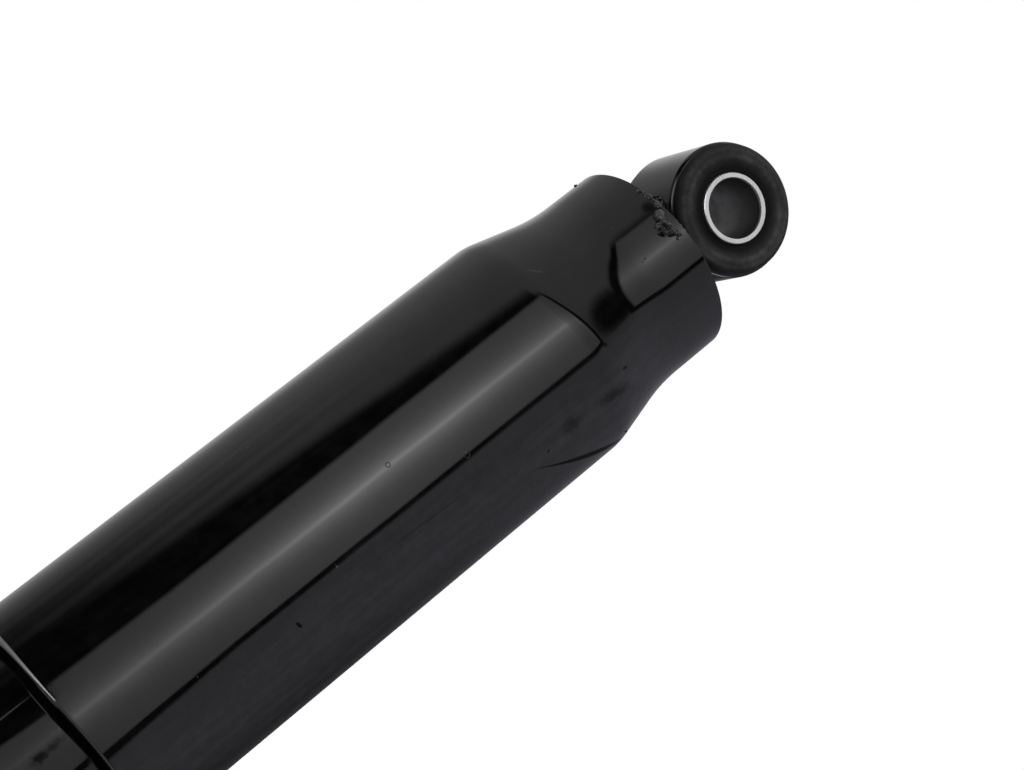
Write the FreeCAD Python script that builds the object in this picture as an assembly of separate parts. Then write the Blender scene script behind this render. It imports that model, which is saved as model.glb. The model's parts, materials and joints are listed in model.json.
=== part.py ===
import FreeCAD, Part
import math
import os

# Twin-tube telescopic shock absorber with a rubber-bushed eye at each end, drawn closed.
# Millimetres. The origin is the centre of the lower eye's bore, Z runs along the strut
# towards the upper eye, and both bores lie along Y.

# Eyes and bushes, alike at both ends
bolt_bore = 17.5  # clears a 16 mm bolt
sleeve_wall = 1.55
sleeve_length = 34.6
sleeve_chamfer = 0.2
sleeve_gap = 0.05  # running gap between the sleeve and the rubber
eye_ring_diameter = 39.3
eye_ring_wall = 3.0
eye_ring_width = 29.0
eye_ring_rounding = 1.3
flange_inset = 0.7  # rubber flange short of the ring's outside, on the radius
flange_thickness = 2.4
flange_groove = 0.3  # gap between the ring's end and the flange
flange_rounding = 1.9
flange_back_rounding = 0.3
dish_depth = 1.2
dish_width = 4.2
dish_rounding = 6.0

# Welds
eye_seat_depth = 1.0  # how deep each eye ring sits in its pad
eye_weld_leg = 5.5
eye_weld_turn = 44.0  # degrees round the ring that a weld run climbs
eye_weld_bulge = 0.9
eye_weld_inset = 2.0  # from the ring's end to the weld's end
pad_margin = 1.4  # flat left round the eye welds
pad_rounding = 2.0
pad_flange_gap = 0.3  # between a pad and the rubber flanges
seam_weld_width = 5.0
seam_weld_bulge = 1.1
rim_weld_leg = 2.4
rim_weld_bulge = 0.7
rod_weld_leg = 3.5

# Dust tube with its drawn-in neck
dust_tube_diameter = 70.0
dust_tube_wall = 2.0
dust_tube_length = 215.8
neck_diameter = 59.3
neck_length = 22.4
shoulder_length = 21.7
shoulder_rounding = 14.0
neck_rounding = 60.0
rim_rounding = 0.8
eye_stand_off = 4.6  # from the neck's end to the nearest point of the eye ring

# Top cap inside the neck
top_cap_plate = 6.5
top_cap_recess = 1.0  # cap's edge below the neck's end
top_cap_skirt = 7.0
top_cap_skirt_wall = 3.0
rod_socket_depth = 3.0

# Reserve tube and base cap
reserve_diameter = 54.0
reserve_wall = 1.8
reserve_roll_reach = 5.0  # rolled-over lip at the top
reserve_roll_rounding = 3.0
base_cap_wall = 4.0
base_cap_rise = 6.5  # from the pad to the cap's edge
base_cap_edge = 2.0
base_cap_spigot = 8.0

# Pressure tube, rod and travel
cylinder_bore = 35.0
pressure_wall = 1.5
rod_diameter = 18.0
rod_chamfer = 0.8
stroke = 160.0
closed_gap = 16.0  # between the gland and the top cap, closed
piston_closed_gap = 4.0  # between the piston rod's tip and the base valve, closed
extended_gap = 0.5  # between the bumper and the rod guide, extended

# Rod guide and seal
guide_spigot = 6.0
guide_flange = 12.0
guide_bush_wall = 1.5
guide_bush_gap = 0.03
guide_chamfer = 0.8
guide_drain_diameter = 2.4
guide_drains = 4
o_ring_section = 2.0
o_ring_side_gap = 0.3
o_ring_offset = 3.0  # groove above the guide's shoulder
seal_depth = 5.0
seal_wall = 9.5
seal_gap = 0.05
seal_relief = 1.2
wiper_wall = 2.6
gland_cap_thickness = 2.5

# Piston and its valves
piston_height = 17.0
piston_gap = 0.3
piston_rounding = 0.5
piston_rim_wall = 0.8  # between the band's groove and the ports' recess
piston_recess_depth = 3.0
band_width = 9.0
band_thickness = 1.4
band_bore_gap = 0.04
band_groove_gap = 0.05
spigot_diameter = 12.0  # rod's tip, through the piston
spigot_tip = 2.0  # beyond the nut
piston_ports = 6
port_land = 0.8  # seat left on each side of a port
valve_slide_gap = 0.08
valve_edge_gap = 0.2
intake_plate_thickness = 0.8
intake_lift_room = 2.2  # between the intake plate and its support
intake_hub_wall = 1.0
support_washer_thickness = 2.5
support_washer_inset = 2.0
star_spring_thickness = 0.4
star_spring_slot = 2.4
star_spring_fingers = 6
rebound_plate_thickness = 1.5
rebound_spring_length = 11.0
rebound_spring_wire = 1.8
rebound_spring_turns = 4.0
nut_sleeve_wall = 1.3
nut_flange = 3.0
nut_height = 8.0
nut_across_flats = 19.0
collar_offset = 8.0  # above the rod's shoulder
collar_height = 5.0
collar_groove_depth = 0.9
collar_diameter = 28.0
bumper_height = 8.0
bumper_diameter = 29.0
bumper_rounding = 1.5

# Base valve
base_valve_cavity = 11.0
base_valve_seat = 2.0  # pressure tube's seat above the cavity
base_valve_plug = 6.0  # above that seat
base_foot_wall = 2.8
base_foot_inset = 1.0  # foot's outer face inside the pressure tube's
base_foot_notch = 8.0
base_foot_notches = 4
base_rim_wall = 2.0
base_ports = 8
base_port_land = 1.2
valve_bolt_diameter = 8.0
valve_bolt_collar_wall = 1.0
valve_bolt_collar = 4.0
valve_bolt_head = 2.5
valve_bolt_head_reach = 3.0
compression_disc_thickness = 0.5
compression_disc_step = 1.0
compression_disc_count = 3
backing_washer_thickness = 2.0
backing_washer_reach = 3.0
valve_nut_height = 5.0
valve_nut_across_flats = 13.0
valve_bolt_tip = 1.0
base_spring_wire = 0.9
base_spring_turns = 2.5

# Radii
eye_radius = eye_ring_diameter / 2
eye_inner_radius = eye_radius - eye_ring_wall
sleeve_inner_radius = bolt_bore / 2
sleeve_radius = sleeve_inner_radius + sleeve_wall
flange_radius = eye_radius - flange_inset
dust_radius = dust_tube_diameter / 2
neck_radius = neck_diameter / 2
neck_inner_radius = neck_radius - dust_tube_wall
reserve_radius = reserve_diameter / 2
reserve_inner_radius = reserve_radius - reserve_wall
bore_radius = cylinder_bore / 2
pressure_radius = bore_radius + pressure_wall
rod_radius = rod_diameter / 2
spigot_radius = spigot_diameter / 2
piston_radius = bore_radius - piston_gap
band_radius = bore_radius - band_bore_gap
band_inner_radius = band_radius - band_thickness
groove_radius = band_inner_radius - band_groove_gap
nut_sleeve_radius = spigot_radius + nut_sleeve_wall
hub_radius = spigot_radius + intake_hub_wall
port_rim_radius = groove_radius - piston_rim_wall
port_split_radius = (nut_sleeve_radius + port_rim_radius) / 2
port_ring_width = port_split_radius - nut_sleeve_radius
piston_port_radius = port_ring_width / 2 - port_land
inner_port_circle = nut_sleeve_radius + port_ring_width / 2
outer_port_circle = port_split_radius + port_ring_width / 2
rebound_plate_radius = port_split_radius - valve_edge_gap
intake_plate_radius = port_rim_radius
support_washer_radius = intake_plate_radius - support_washer_inset
valve_bolt_radius = valve_bolt_diameter / 2
bolt_collar_radius = valve_bolt_radius + valve_bolt_collar_wall
base_rim_radius = bore_radius - base_rim_wall
base_split_radius = (bolt_collar_radius + base_rim_radius) / 2
base_ring_width = base_split_radius - bolt_collar_radius
base_port_radius = base_ring_width / 2 - base_port_land
base_inner_circle = bolt_collar_radius + base_ring_width / 2
base_outer_circle = base_split_radius + base_ring_width / 2
guide_bush_inner_radius = rod_radius + guide_bush_gap
guide_bush_radius = guide_bush_inner_radius + guide_bush_wall
seal_inner_radius = rod_radius + seal_gap
seal_radius = seal_inner_radius + seal_wall
wiper_radius = seal_inner_radius + wiper_wall
o_ring_groove_radius = reserve_inner_radius - o_ring_section

# Pads that carry the eye rings
pad_height = eye_radius - eye_seat_depth  # from an eye's centre to its pad
weld_start = math.sqrt(eye_radius**2 - pad_height**2)
weld_edge = weld_start + eye_weld_leg
eye_weld_run = eye_ring_width - 2 * eye_weld_inset
pad_radius = math.hypot(weld_edge, eye_weld_run / 2) + pad_margin

# Heights along the strut, closed, from the lower eye upwards
base_edge_low = pad_height + base_cap_rise
reserve_low = base_edge_low + base_cap_edge
base_floor = pad_height + base_cap_wall
cavity_top = base_floor + base_valve_cavity
pressure_low = cavity_top + base_valve_seat
base_valve_top = pressure_low + base_valve_plug
backing_washer_top = cavity_top - compression_disc_count * compression_disc_thickness
backing_washer_low = backing_washer_top - backing_washer_thickness
valve_nut_low = backing_washer_low - valve_nut_height
base_intake_top = base_valve_top + intake_plate_thickness
bolt_head_low = base_valve_top + valve_bolt_collar
bolt_head_top = bolt_head_low + valve_bolt_head
rod_tip = bolt_head_top + piston_closed_gap
nut_low = rod_tip + spigot_tip
nut_flange_low = nut_low + nut_height
rebound_spring_low = nut_flange_low + nut_flange
rebound_plate_low = rebound_spring_low + rebound_spring_length
piston_low = rebound_plate_low + rebound_plate_thickness
piston_top = piston_low + piston_height
intake_plate_top = piston_top + intake_plate_thickness
support_low = intake_plate_top + intake_lift_room
rod_shoulder = support_low + support_washer_thickness
collar_low = rod_shoulder + collar_offset
collar_top = collar_low + collar_height
bumper_top = collar_top + bumper_height
guide_low = bumper_top + stroke + extended_gap
guide_shoulder = guide_low + guide_spigot
guide_top = guide_shoulder + guide_flange
seal_low = guide_top - seal_depth
gland_cap_top = guide_top + gland_cap_thickness
gland_top = gland_cap_top + reserve_wall
skirt_low = gland_top + closed_gap
cap_underside = skirt_low + top_cap_skirt
top_pad = cap_underside + top_cap_plate
neck_end = top_pad - eye_stand_off - eye_seat_depth
upper_eye = top_pad + pad_height
cap_edge = neck_end - top_cap_recess
neck_low = neck_end - neck_length
shoulder_low = neck_low - shoulder_length
dust_low = neck_end - dust_tube_length
rod_top = cap_underside + rod_socket_depth

ORIGIN = FreeCAD.Vector(0, 0, 0)
SIDEWAYS = FreeCAD.Vector(1, 0, 0)
ACROSS = FreeCAD.Vector(0, 1, 0)
UP = FreeCAD.Vector(0, 0, 1)
SAME_POINT = 1e-7
FULL_TURN = 360.0
HEXAGON_SIDES = 6
BOTH_SIDES = 2


def outline(corners):
    """Closed outline in the XZ plane through (radius, height) corners; a third value rounds a corner."""
    points = [FreeCAD.Vector(corner[0], 0, corner[1]) for corner in corners]
    turns = []
    for index, corner in enumerate(corners):
        point = points[index]
        if len(corner) == 2:
            turns.append((point, None, point))
            continue
        rounding = corner[2]
        back = (points[index - 1] - point).normalize()
        ahead = (points[(index + 1) % len(points)] - point).normalize()
        half_angle = back.getAngle(ahead) / 2
        reach = rounding / math.tan(half_angle)
        inward = (back + ahead).normalize()
        middle = point + inward * (rounding / math.sin(half_angle) - rounding)
        turns.append((point + back * reach, middle, point + ahead * reach))
    edges = []
    for index, (start, middle, end) in enumerate(turns):
        before = turns[index - 1][2]
        if before.distanceToPoint(start) > SAME_POINT:
            edges.append(Part.LineSegment(before, start).toShape())
        if middle is not None:
            edges.append(Part.Arc(start, middle, end).toShape())
    return Part.Wire(edges)


def turned(corners):
    """Solid turned about Z from an outline of (radius, height) corners."""
    return Part.Face(outline(corners)).revolve(ORIGIN, UP, FULL_TURN)


def plain_ring(inner, outer, low, high):
    """Ring of square section."""
    return turned([(inner, low), (outer, low), (outer, high), (inner, high)])


def laid_across(shape, height):
    """A shape made about Z, laid along Y at a height on the strut."""
    laid = shape.copy()
    laid.rotate(ORIGIN, SIDEWAYS, FULL_TURN / 4)
    laid.translate(UP * height)
    return laid


def round_pattern(shape, count):
    """Copies of a shape spaced evenly about Z."""
    copies = []
    for index in range(count):
        copy = shape.copy()
        copy.rotate(ORIGIN, UP, index * FULL_TURN / count)
        copies.append(copy)
    return Part.makeCompound(copies)


def drilled(shape, count, circle, radius, low, high):
    """A shape with a circle of holes along Z."""
    hole = Part.makeCylinder(radius, high - low, FreeCAD.Vector(circle, 0, low), UP)
    return shape.cut(round_pattern(hole, count))


def hexagon(across_flats, low, high):
    """Hexagonal prism about Z."""
    corner_radius = across_flats / math.sqrt(3)
    corners = []
    for index in range(HEXAGON_SIDES + 1):
        angle = math.radians(index * FULL_TURN / HEXAGON_SIDES)
        corners.append(FreeCAD.Vector(corner_radius * math.cos(angle), corner_radius * math.sin(angle), low))
    return Part.Face(Part.makePolygon(corners)).extrude(UP * (high - low))


def hex_nut(across_flats, thread_radius, low, high):
    """Hexagonal nut with its corners turned off and a plain bore in place of the thread."""
    flat_radius = across_flats / 2
    corner_radius = across_flats / math.sqrt(3)
    chamfer = (corner_radius - flat_radius) / 2
    blank = turned(
        [
            (thread_radius, low),
            (flat_radius, low),
            (corner_radius, low + chamfer),
            (corner_radius, high - chamfer),
            (flat_radius, high),
            (thread_radius, high),
        ]
    )
    return blank.common(hexagon(across_flats, low, high))


def coil(bottom_radius, top_radius, wire, low, high, turns):
    """Coil spring with its ends ground flat, as wide at the top or narrowing evenly upwards."""
    height = high - low
    lean = math.atan2(bottom_radius - top_radius, height)
    slant = height / math.cos(lean)  # a leaning helix is measured along its cone
    path = Part.makeHelix(slant / turns, slant, top_radius, math.degrees(lean))
    section = Part.Wire(Part.makeCircle(wire / 2, FreeCAD.Vector(top_radius, 0, 0), ACROSS))
    spring = Part.Wire(path.Edges).makePipeShell([section], True, True)
    spring = spring.common(Part.makeCylinder(bottom_radius + wire, height))
    spring.rotate(ORIGIN, SIDEWAYS, FULL_TURN / 2)
    spring.translate(UP * high)
    return spring


def eye_ring(height):
    """Steel ring of an eye."""
    half = eye_ring_width / 2
    ring = turned(
        [
            (eye_inner_radius, -half),
            (eye_radius, -half, eye_ring_rounding),
            (eye_radius, half, eye_ring_rounding),
            (eye_inner_radius, half),
        ]
    )
    return laid_across(ring, height)


def eye_bush(height):
    """Rubber bush of an eye, with a flange at each end and a dish round the sleeve."""
    inner = sleeve_radius + sleeve_gap
    back = eye_ring_width / 2 + flange_groove
    face = back + flange_thickness
    dish = face - dish_depth
    half = [
        (eye_inner_radius, back),
        (flange_radius, back, flange_back_rounding),
        (flange_radius, face, flange_rounding),
        (inner + dish_width, face, dish_rounding),
        (inner, dish),
    ]
    mirrored = [(corner[0], -corner[1]) + corner[2:] for corner in reversed(half)]
    return laid_across(turned(mirrored + half), height)


def eye_sleeve(height):
    """Steel sleeve that the mounting bolt passes through."""
    half = sleeve_length / 2
    edge = half - sleeve_chamfer
    sleeve = turned(
        [
            (sleeve_inner_radius + sleeve_chamfer, -half),
            (sleeve_radius - sleeve_chamfer, -half),
            (sleeve_radius, -edge),
            (sleeve_radius, edge),
            (sleeve_radius - sleeve_chamfer, half),
            (sleeve_inner_radius + sleeve_chamfer, half),
            (sleeve_inner_radius, edge),
            (sleeve_inner_radius, -edge),
        ]
    )
    return laid_across(sleeve, height)


def eye_weld():
    """The two weld runs between an eye ring at the origin and a pad above it."""

    def on_ring(degrees):
        angle = math.radians(degrees)
        return FreeCAD.Vector(eye_radius * math.sin(angle), 0, eye_radius * math.cos(angle))

    seat_turn = math.degrees(math.asin(weld_start / eye_radius))
    root = on_ring(seat_turn)
    toe = on_ring(eye_weld_turn)
    edge = FreeCAD.Vector(weld_edge, 0, pad_height)
    chord_middle = (toe + edge) * 0.5
    outward = (chord_middle - root).normalize()
    section = Part.Wire(
        [
            Part.Arc(root, on_ring((seat_turn + eye_weld_turn) / 2), toe).toShape(),
            Part.Arc(toe, chord_middle + outward * eye_weld_bulge, edge).toShape(),
            Part.LineSegment(edge, root).toShape(),
        ]
    )
    run = Part.Face(section).extrude(ACROSS * eye_weld_run)
    run.translate(ACROSS * (-eye_weld_run / 2))
    return round_pattern(run, BOTH_SIDES)


def upper_eye_weld():
    """Weld runs between the upper eye ring and the top cap, below the ring."""
    runs = eye_weld()
    runs.rotate(ORIGIN, SIDEWAYS, FULL_TURN / 2)
    runs.translate(UP * upper_eye)
    return runs


def saddle(height):
    """The space that an eye ring and its two rubber flanges take out of a pad."""
    reach = 2 * pad_radius
    half = eye_ring_width / 2
    ring_space = Part.makeCylinder(eye_radius, 2 * half, UP * -half)
    flange_space = Part.makeCylinder(flange_radius + pad_flange_gap, reach, UP * half)
    far_flange_space = flange_space.copy()
    far_flange_space.translate(UP * -(reach + 2 * half))
    return laid_across(ring_space.fuse([flange_space, far_flange_space]), height)


def dust_tube():
    """Steel dust tube, open below, drawn in to a neck at the top."""
    slope = math.atan2(dust_radius - neck_radius, shoulder_length)
    inner_drop = dust_tube_wall * math.tan(slope / 2)
    inner_radius = dust_radius - dust_tube_wall
    return turned(
        [
            (dust_radius, dust_low),
            (dust_radius, shoulder_low, shoulder_rounding),
            (neck_radius, neck_low, neck_rounding),
            (neck_radius, neck_end, rim_rounding),
            (neck_inner_radius, neck_end),
            (neck_inner_radius, neck_low - inner_drop, neck_rounding + dust_tube_wall),
            (inner_radius, shoulder_low - inner_drop, shoulder_rounding - dust_tube_wall),
            (inner_radius, dust_low),
        ]
    )


def top_cap():
    """Steel cap that closes the neck and carries the rod below and the upper eye above."""
    skirt_radius = neck_inner_radius - top_cap_skirt_wall
    blank = turned(
        [
            (0, rod_top),
            (rod_radius, rod_top),
            (rod_radius, cap_underside),
            (skirt_radius, cap_underside, pad_rounding),
            (skirt_radius, skirt_low),
            (neck_inner_radius, skirt_low),
            (neck_inner_radius, cap_edge),
            (pad_radius, top_pad, pad_rounding),
            (0, top_pad),
        ]
    )
    return blank.cut(saddle(upper_eye))


def top_cap_weld():
    """Weld bead round the neck's end, between the dust tube and the sloping edge of the top cap."""
    slope = math.atan2(top_pad - cap_edge, neck_inner_radius - pad_radius)
    lip = FreeCAD.Vector(neck_inner_radius + dust_tube_wall / 2, 0, neck_end)
    corner = FreeCAD.Vector(neck_inner_radius, 0, neck_end)
    root = FreeCAD.Vector(neck_inner_radius, 0, cap_edge)
    toe = root + FreeCAD.Vector(-math.cos(slope), 0, math.sin(slope)) * rim_weld_leg
    chord_middle = (lip + toe) * 0.5
    crown = chord_middle + (chord_middle - root).normalize() * rim_weld_bulge
    section = Part.Wire(
        [
            Part.LineSegment(root, corner).toShape(),
            Part.LineSegment(corner, lip).toShape(),
            Part.Arc(lip, crown, toe).toShape(),
            Part.LineSegment(toe, root).toShape(),
        ]
    )
    return Part.Face(section).revolve(ORIGIN, UP, FULL_TURN)


def rod_weld():
    """Fillet weld round the rod under the top cap."""
    return turned(
        [
            (rod_radius, cap_underside - rod_weld_leg),
            (rod_radius + rod_weld_leg, cap_underside),
            (rod_radius, cap_underside),
        ]
    )


def piston_rod():
    """Hard-chromed rod with a thinner tip for the piston and a groove for the stop collar."""
    groove = rod_radius - collar_groove_depth
    return turned(
        [
            (0, rod_tip),
            (spigot_radius - rod_chamfer, rod_tip),
            (spigot_radius, rod_tip + rod_chamfer),
            (spigot_radius, rod_shoulder),
            (rod_radius, rod_shoulder),
            (rod_radius, collar_low),
            (groove, collar_low),
            (groove, collar_top),
            (rod_radius, collar_top),
            (rod_radius, rod_top),
            (0, rod_top),
        ]
    )


def rebound_bumper():
    """Ring on the stop collar that meets the rod guide at full extension."""
    return turned(
        [
            (rod_radius, collar_top),
            (bumper_diameter / 2, collar_top, bumper_rounding),
            (bumper_diameter / 2, bumper_top, bumper_rounding),
            (rod_radius, bumper_top),
        ]
    )


def piston():
    """Sintered piston: a groove for the band, inner ports for rebound and outer ports for intake."""
    band_middle = (piston_low + piston_top) / 2
    groove_half = band_width / 2 + band_groove_gap
    recess_top = piston_low + piston_recess_depth
    blank = turned(
        [
            (spigot_radius, piston_low),
            (port_split_radius, piston_low),
            (port_split_radius, recess_top),
            (port_rim_radius, recess_top),
            (port_rim_radius, piston_low),
            (piston_radius, piston_low, piston_rounding),
            (piston_radius, band_middle - groove_half),
            (groove_radius, band_middle - groove_half),
            (groove_radius, band_middle + groove_half),
            (piston_radius, band_middle + groove_half),
            (piston_radius, piston_top, piston_rounding),
            (spigot_radius, piston_top),
        ]
    )
    blank = drilled(blank, piston_ports, inner_port_circle, piston_port_radius, piston_low, piston_top)
    return drilled(blank, piston_ports, outer_port_circle, piston_port_radius, piston_low, piston_top)


def piston_band():
    """Low-friction band in the piston's groove."""
    middle = (piston_low + piston_top) / 2
    return plain_ring(band_inner_radius, band_radius, middle - band_width / 2, middle + band_width / 2)


def piston_intake_plate():
    """Check plate on the piston; holes keep the rebound ports open."""
    plate = plain_ring(hub_radius + valve_slide_gap, intake_plate_radius, piston_top, intake_plate_top)
    return drilled(plate, piston_ports, inner_port_circle, piston_port_radius, piston_top, intake_plate_top)


def support_washer():
    """Washer under the rod's shoulder, with a hub that guides the intake plate."""
    return turned(
        [
            (spigot_radius, piston_top),
            (hub_radius, piston_top),
            (hub_radius, support_low),
            (support_washer_radius, support_low),
            (support_washer_radius, rod_shoulder),
            (spigot_radius, rod_shoulder),
        ]
    )


def intake_star_spring():
    """Slotted cone of spring steel between the intake plate and its support."""
    inner = hub_radius + valve_edge_gap
    cone = turned(
        [
            (inner, support_low - star_spring_thickness),
            (support_washer_radius, intake_plate_top),
            (support_washer_radius, intake_plate_top + star_spring_thickness),
            (inner, support_low),
        ]
    )
    slot_start = (inner + support_washer_radius) / 2
    corner = FreeCAD.Vector(slot_start, -star_spring_slot / 2, intake_plate_top)
    slot = Part.makeBox(support_washer_radius, star_spring_slot, intake_lift_room, corner)
    return cone.cut(round_pattern(slot, star_spring_fingers))


def rebound_valve_plate():
    """Plate that the rebound spring holds against the piston's inner ports."""
    inner = nut_sleeve_radius + valve_slide_gap
    return plain_ring(inner, rebound_plate_radius, rebound_plate_low, piston_low)


def rebound_spring():
    """Coil spring under the rebound valve plate."""
    mean = (nut_sleeve_radius + rebound_plate_radius) / 2
    return coil(mean, mean, rebound_spring_wire, rebound_spring_low, rebound_plate_low, rebound_spring_turns)


def piston_nut():
    """Nut with a spring flange and a sleeve that clamps the piston and guides the rebound plate."""
    sleeve = turned(
        [
            (spigot_radius, nut_flange_low),
            (rebound_plate_radius, nut_flange_low),
            (rebound_plate_radius, rebound_spring_low),
            (nut_sleeve_radius, rebound_spring_low),
            (nut_sleeve_radius, piston_low),
            (spigot_radius, piston_low),
        ]
    )
    return sleeve.fuse(hex_nut(nut_across_flats, spigot_radius, nut_low, nut_flange_low)).removeSplitter()


def reserve_tube():
    """Outer tube of the damper, rolled in over the gland at the top."""
    lip = reserve_radius - reserve_roll_reach
    return turned(
        [
            (reserve_radius, reserve_low),
            (reserve_radius, gland_top, reserve_roll_rounding),
            (lip, gland_top),
            (lip, gland_cap_top),
            (reserve_inner_radius, gland_cap_top),
            (reserve_inner_radius, reserve_low),
        ]
    )


def base_cap():
    """Pressed cap that plugs the reserve tube and carries the lower eye."""
    spigot_top = reserve_low + base_cap_spigot
    inner = reserve_inner_radius - base_cap_wall
    blank = turned(
        [
            (0, pad_height),
            (pad_radius, pad_height, pad_rounding),
            (reserve_radius, base_edge_low, rim_rounding),
            (reserve_radius, reserve_low),
            (reserve_inner_radius, reserve_low),
            (reserve_inner_radius, spigot_top),
            (inner, spigot_top),
            (inner, base_floor, pad_rounding),
            (0, base_floor),
        ]
    )
    return blank.cut(saddle(0))


def base_cap_weld():
    """Seam weld round the joint of reserve tube and base cap."""
    low = FreeCAD.Vector(reserve_radius, 0, reserve_low - seam_weld_width / 2)
    crown = FreeCAD.Vector(reserve_radius + seam_weld_bulge, 0, reserve_low)
    high = FreeCAD.Vector(reserve_radius, 0, reserve_low + seam_weld_width / 2)
    section = Part.Wire([Part.Arc(low, crown, high).toShape(), Part.LineSegment(high, low).toShape()])
    return Part.Face(section).revolve(ORIGIN, UP, FULL_TURN)


def base_valve_body():
    """Valve body in the foot of the pressure tube, on notched feet that let oil in from the reserve."""
    foot = pressure_radius - base_foot_inset
    foot_inner = foot - base_foot_wall
    blank = turned(
        [
            (valve_bolt_radius, cavity_top),
            (foot_inner, cavity_top),
            (foot_inner, base_floor),
            (foot, base_floor),
            (foot, cavity_top),
            (pressure_radius, cavity_top),
            (pressure_radius, pressure_low),
            (bore_radius, pressure_low),
            (bore_radius, base_valve_top),
            (valve_bolt_radius, base_valve_top),
        ]
    )
    notch_corner = FreeCAD.Vector(0, -base_foot_notch / 2, base_floor)
    notch = Part.makeBox(pressure_radius, base_foot_notch, base_valve_cavity / 2, notch_corner)
    blank = blank.cut(round_pattern(notch, base_foot_notches))
    blank = drilled(blank, base_ports, base_inner_circle, base_port_radius, cavity_top, base_valve_top)
    return drilled(blank, base_ports, base_outer_circle, base_port_radius, cavity_top, base_valve_top)


def compression_discs():
    """Stack of thin spring discs under the base valve's inner ports, smaller downwards."""
    discs = []
    for index in range(compression_disc_count):
        top = cavity_top - index * compression_disc_thickness
        radius = base_split_radius - index * compression_disc_step
        discs.append(plain_ring(valve_bolt_radius, radius, top - compression_disc_thickness, top))
    return Part.makeCompound(discs)


def base_valve_bolt():
    """Headed bolt through the base valve; its collar guides the intake plate."""
    head_radius = bolt_collar_radius + valve_bolt_head_reach
    return turned(
        [
            (0, valve_nut_low - valve_bolt_tip),
            (valve_bolt_radius, valve_nut_low - valve_bolt_tip),
            (valve_bolt_radius, base_valve_top),
            (bolt_collar_radius, base_valve_top),
            (bolt_collar_radius, bolt_head_low),
            (head_radius, bolt_head_low),
            (head_radius, bolt_head_top),
            (0, bolt_head_top),
        ]
    )


def base_intake_plate():
    """Check plate on the base valve; holes keep the compression ports open."""
    plate = plain_ring(bolt_collar_radius + valve_slide_gap, base_rim_radius, base_valve_top, base_intake_top)
    return drilled(plate, base_ports, base_inner_circle, base_port_radius, base_valve_top, base_intake_top)


def base_intake_spring():
    """Light conical spring between the intake plate and the bolt's head."""
    top_radius = bolt_collar_radius + valve_bolt_head_reach / 2
    low = base_intake_top
    high = bolt_head_low
    return coil(base_split_radius, top_radius, base_spring_wire, low, high, base_spring_turns)


def rod_guide():
    """Sintered guide that centres the rod and joins the two tubes at the top."""
    groove_low = guide_shoulder + o_ring_offset
    groove_top = groove_low + o_ring_section + 2 * o_ring_side_gap
    blank = turned(
        [
            (guide_bush_radius, guide_low),
            (bore_radius - guide_chamfer, guide_low),
            (bore_radius, guide_low + guide_chamfer),
            (bore_radius, guide_shoulder),
            (reserve_inner_radius, guide_shoulder),
            (reserve_inner_radius, groove_low),
            (o_ring_groove_radius, groove_low),
            (o_ring_groove_radius, groove_top),
            (reserve_inner_radius, groove_top),
            (reserve_inner_radius, guide_top),
            (seal_radius, guide_top),
            (seal_radius, seal_low),
            (guide_bush_radius, seal_low),
        ]
    )
    drain_circle = (seal_radius + o_ring_groove_radius) / 2
    return drilled(blank, guide_drains, drain_circle, guide_drain_diameter / 2, guide_shoulder, guide_top)


def guide_o_ring():
    """Seal between the rod guide and the reserve tube."""
    section = o_ring_section / 2
    middle = guide_shoulder + o_ring_offset + o_ring_side_gap + section
    return Part.makeTorus(reserve_inner_radius - section, section, UP * middle)


def rod_seal():
    """Rubber seal in the guide, with an oil lip below and a wiper lip through the gland cap."""
    relief_middle = (seal_low + guide_top) / 2
    return turned(
        [
            (seal_inner_radius, seal_low),
            (seal_radius, seal_low),
            (seal_radius, guide_top),
            (wiper_radius, guide_top),
            (wiper_radius, gland_cap_top),
            (seal_inner_radius, gland_top),
            (seal_inner_radius, guide_top),
            (seal_inner_radius + seal_relief, relief_middle),
        ]
    )


nodes = {
    "dust_tube": dust_tube(),
    "top_cap": top_cap(),
    "top_cap_weld": top_cap_weld(),
    "upper_eye_ring": eye_ring(upper_eye),
    "upper_eye_weld": upper_eye_weld(),
    "upper_bush": eye_bush(upper_eye),
    "upper_sleeve": eye_sleeve(upper_eye),
    "piston_rod": piston_rod(),
    "rod_weld": rod_weld(),
    "stop_collar": plain_ring(rod_radius - collar_groove_depth, collar_diameter / 2, collar_low, collar_top),
    "rebound_bumper": rebound_bumper(),
    "support_washer": support_washer(),
    "intake_star_spring": intake_star_spring(),
    "piston_intake_plate": piston_intake_plate(),
    "piston": piston(),
    "piston_band": piston_band(),
    "rebound_valve_plate": rebound_valve_plate(),
    "rebound_spring": rebound_spring(),
    "piston_nut": piston_nut(),
    "reserve_tube": reserve_tube(),
    "base_cap": base_cap(),
    "base_cap_weld": base_cap_weld(),
    "lower_eye_ring": eye_ring(0),
    "lower_eye_weld": eye_weld(),
    "lower_bush": eye_bush(0),
    "lower_sleeve": eye_sleeve(0),
    "pressure_tube": plain_ring(bore_radius, pressure_radius, pressure_low, guide_shoulder),
    "base_valve_body": base_valve_body(),
    "compression_discs": compression_discs(),
    "backing_washer": plain_ring(
        valve_bolt_radius, valve_bolt_radius + backing_washer_reach, backing_washer_low, backing_washer_top
    ),
    "base_valve_bolt": base_valve_bolt(),
    "base_valve_nut": hex_nut(valve_nut_across_flats, valve_bolt_radius, valve_nut_low, backing_washer_low),
    "base_intake_plate": base_intake_plate(),
    "base_intake_spring": base_intake_spring(),
    "rod_guide": rod_guide(),
    "guide_bush": plain_ring(guide_bush_inner_radius, guide_bush_radius, guide_low, seal_low),
    "guide_o_ring": guide_o_ring(),
    "rod_seal": rod_seal(),
    "gland_cap": plain_ring(wiper_radius, reserve_inner_radius, guide_top, gland_cap_top),
}

os.makedirs("parts", exist_ok=True)
for name, shape in nodes.items():
    shape.exportStep(f"parts/{name}.step")
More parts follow.
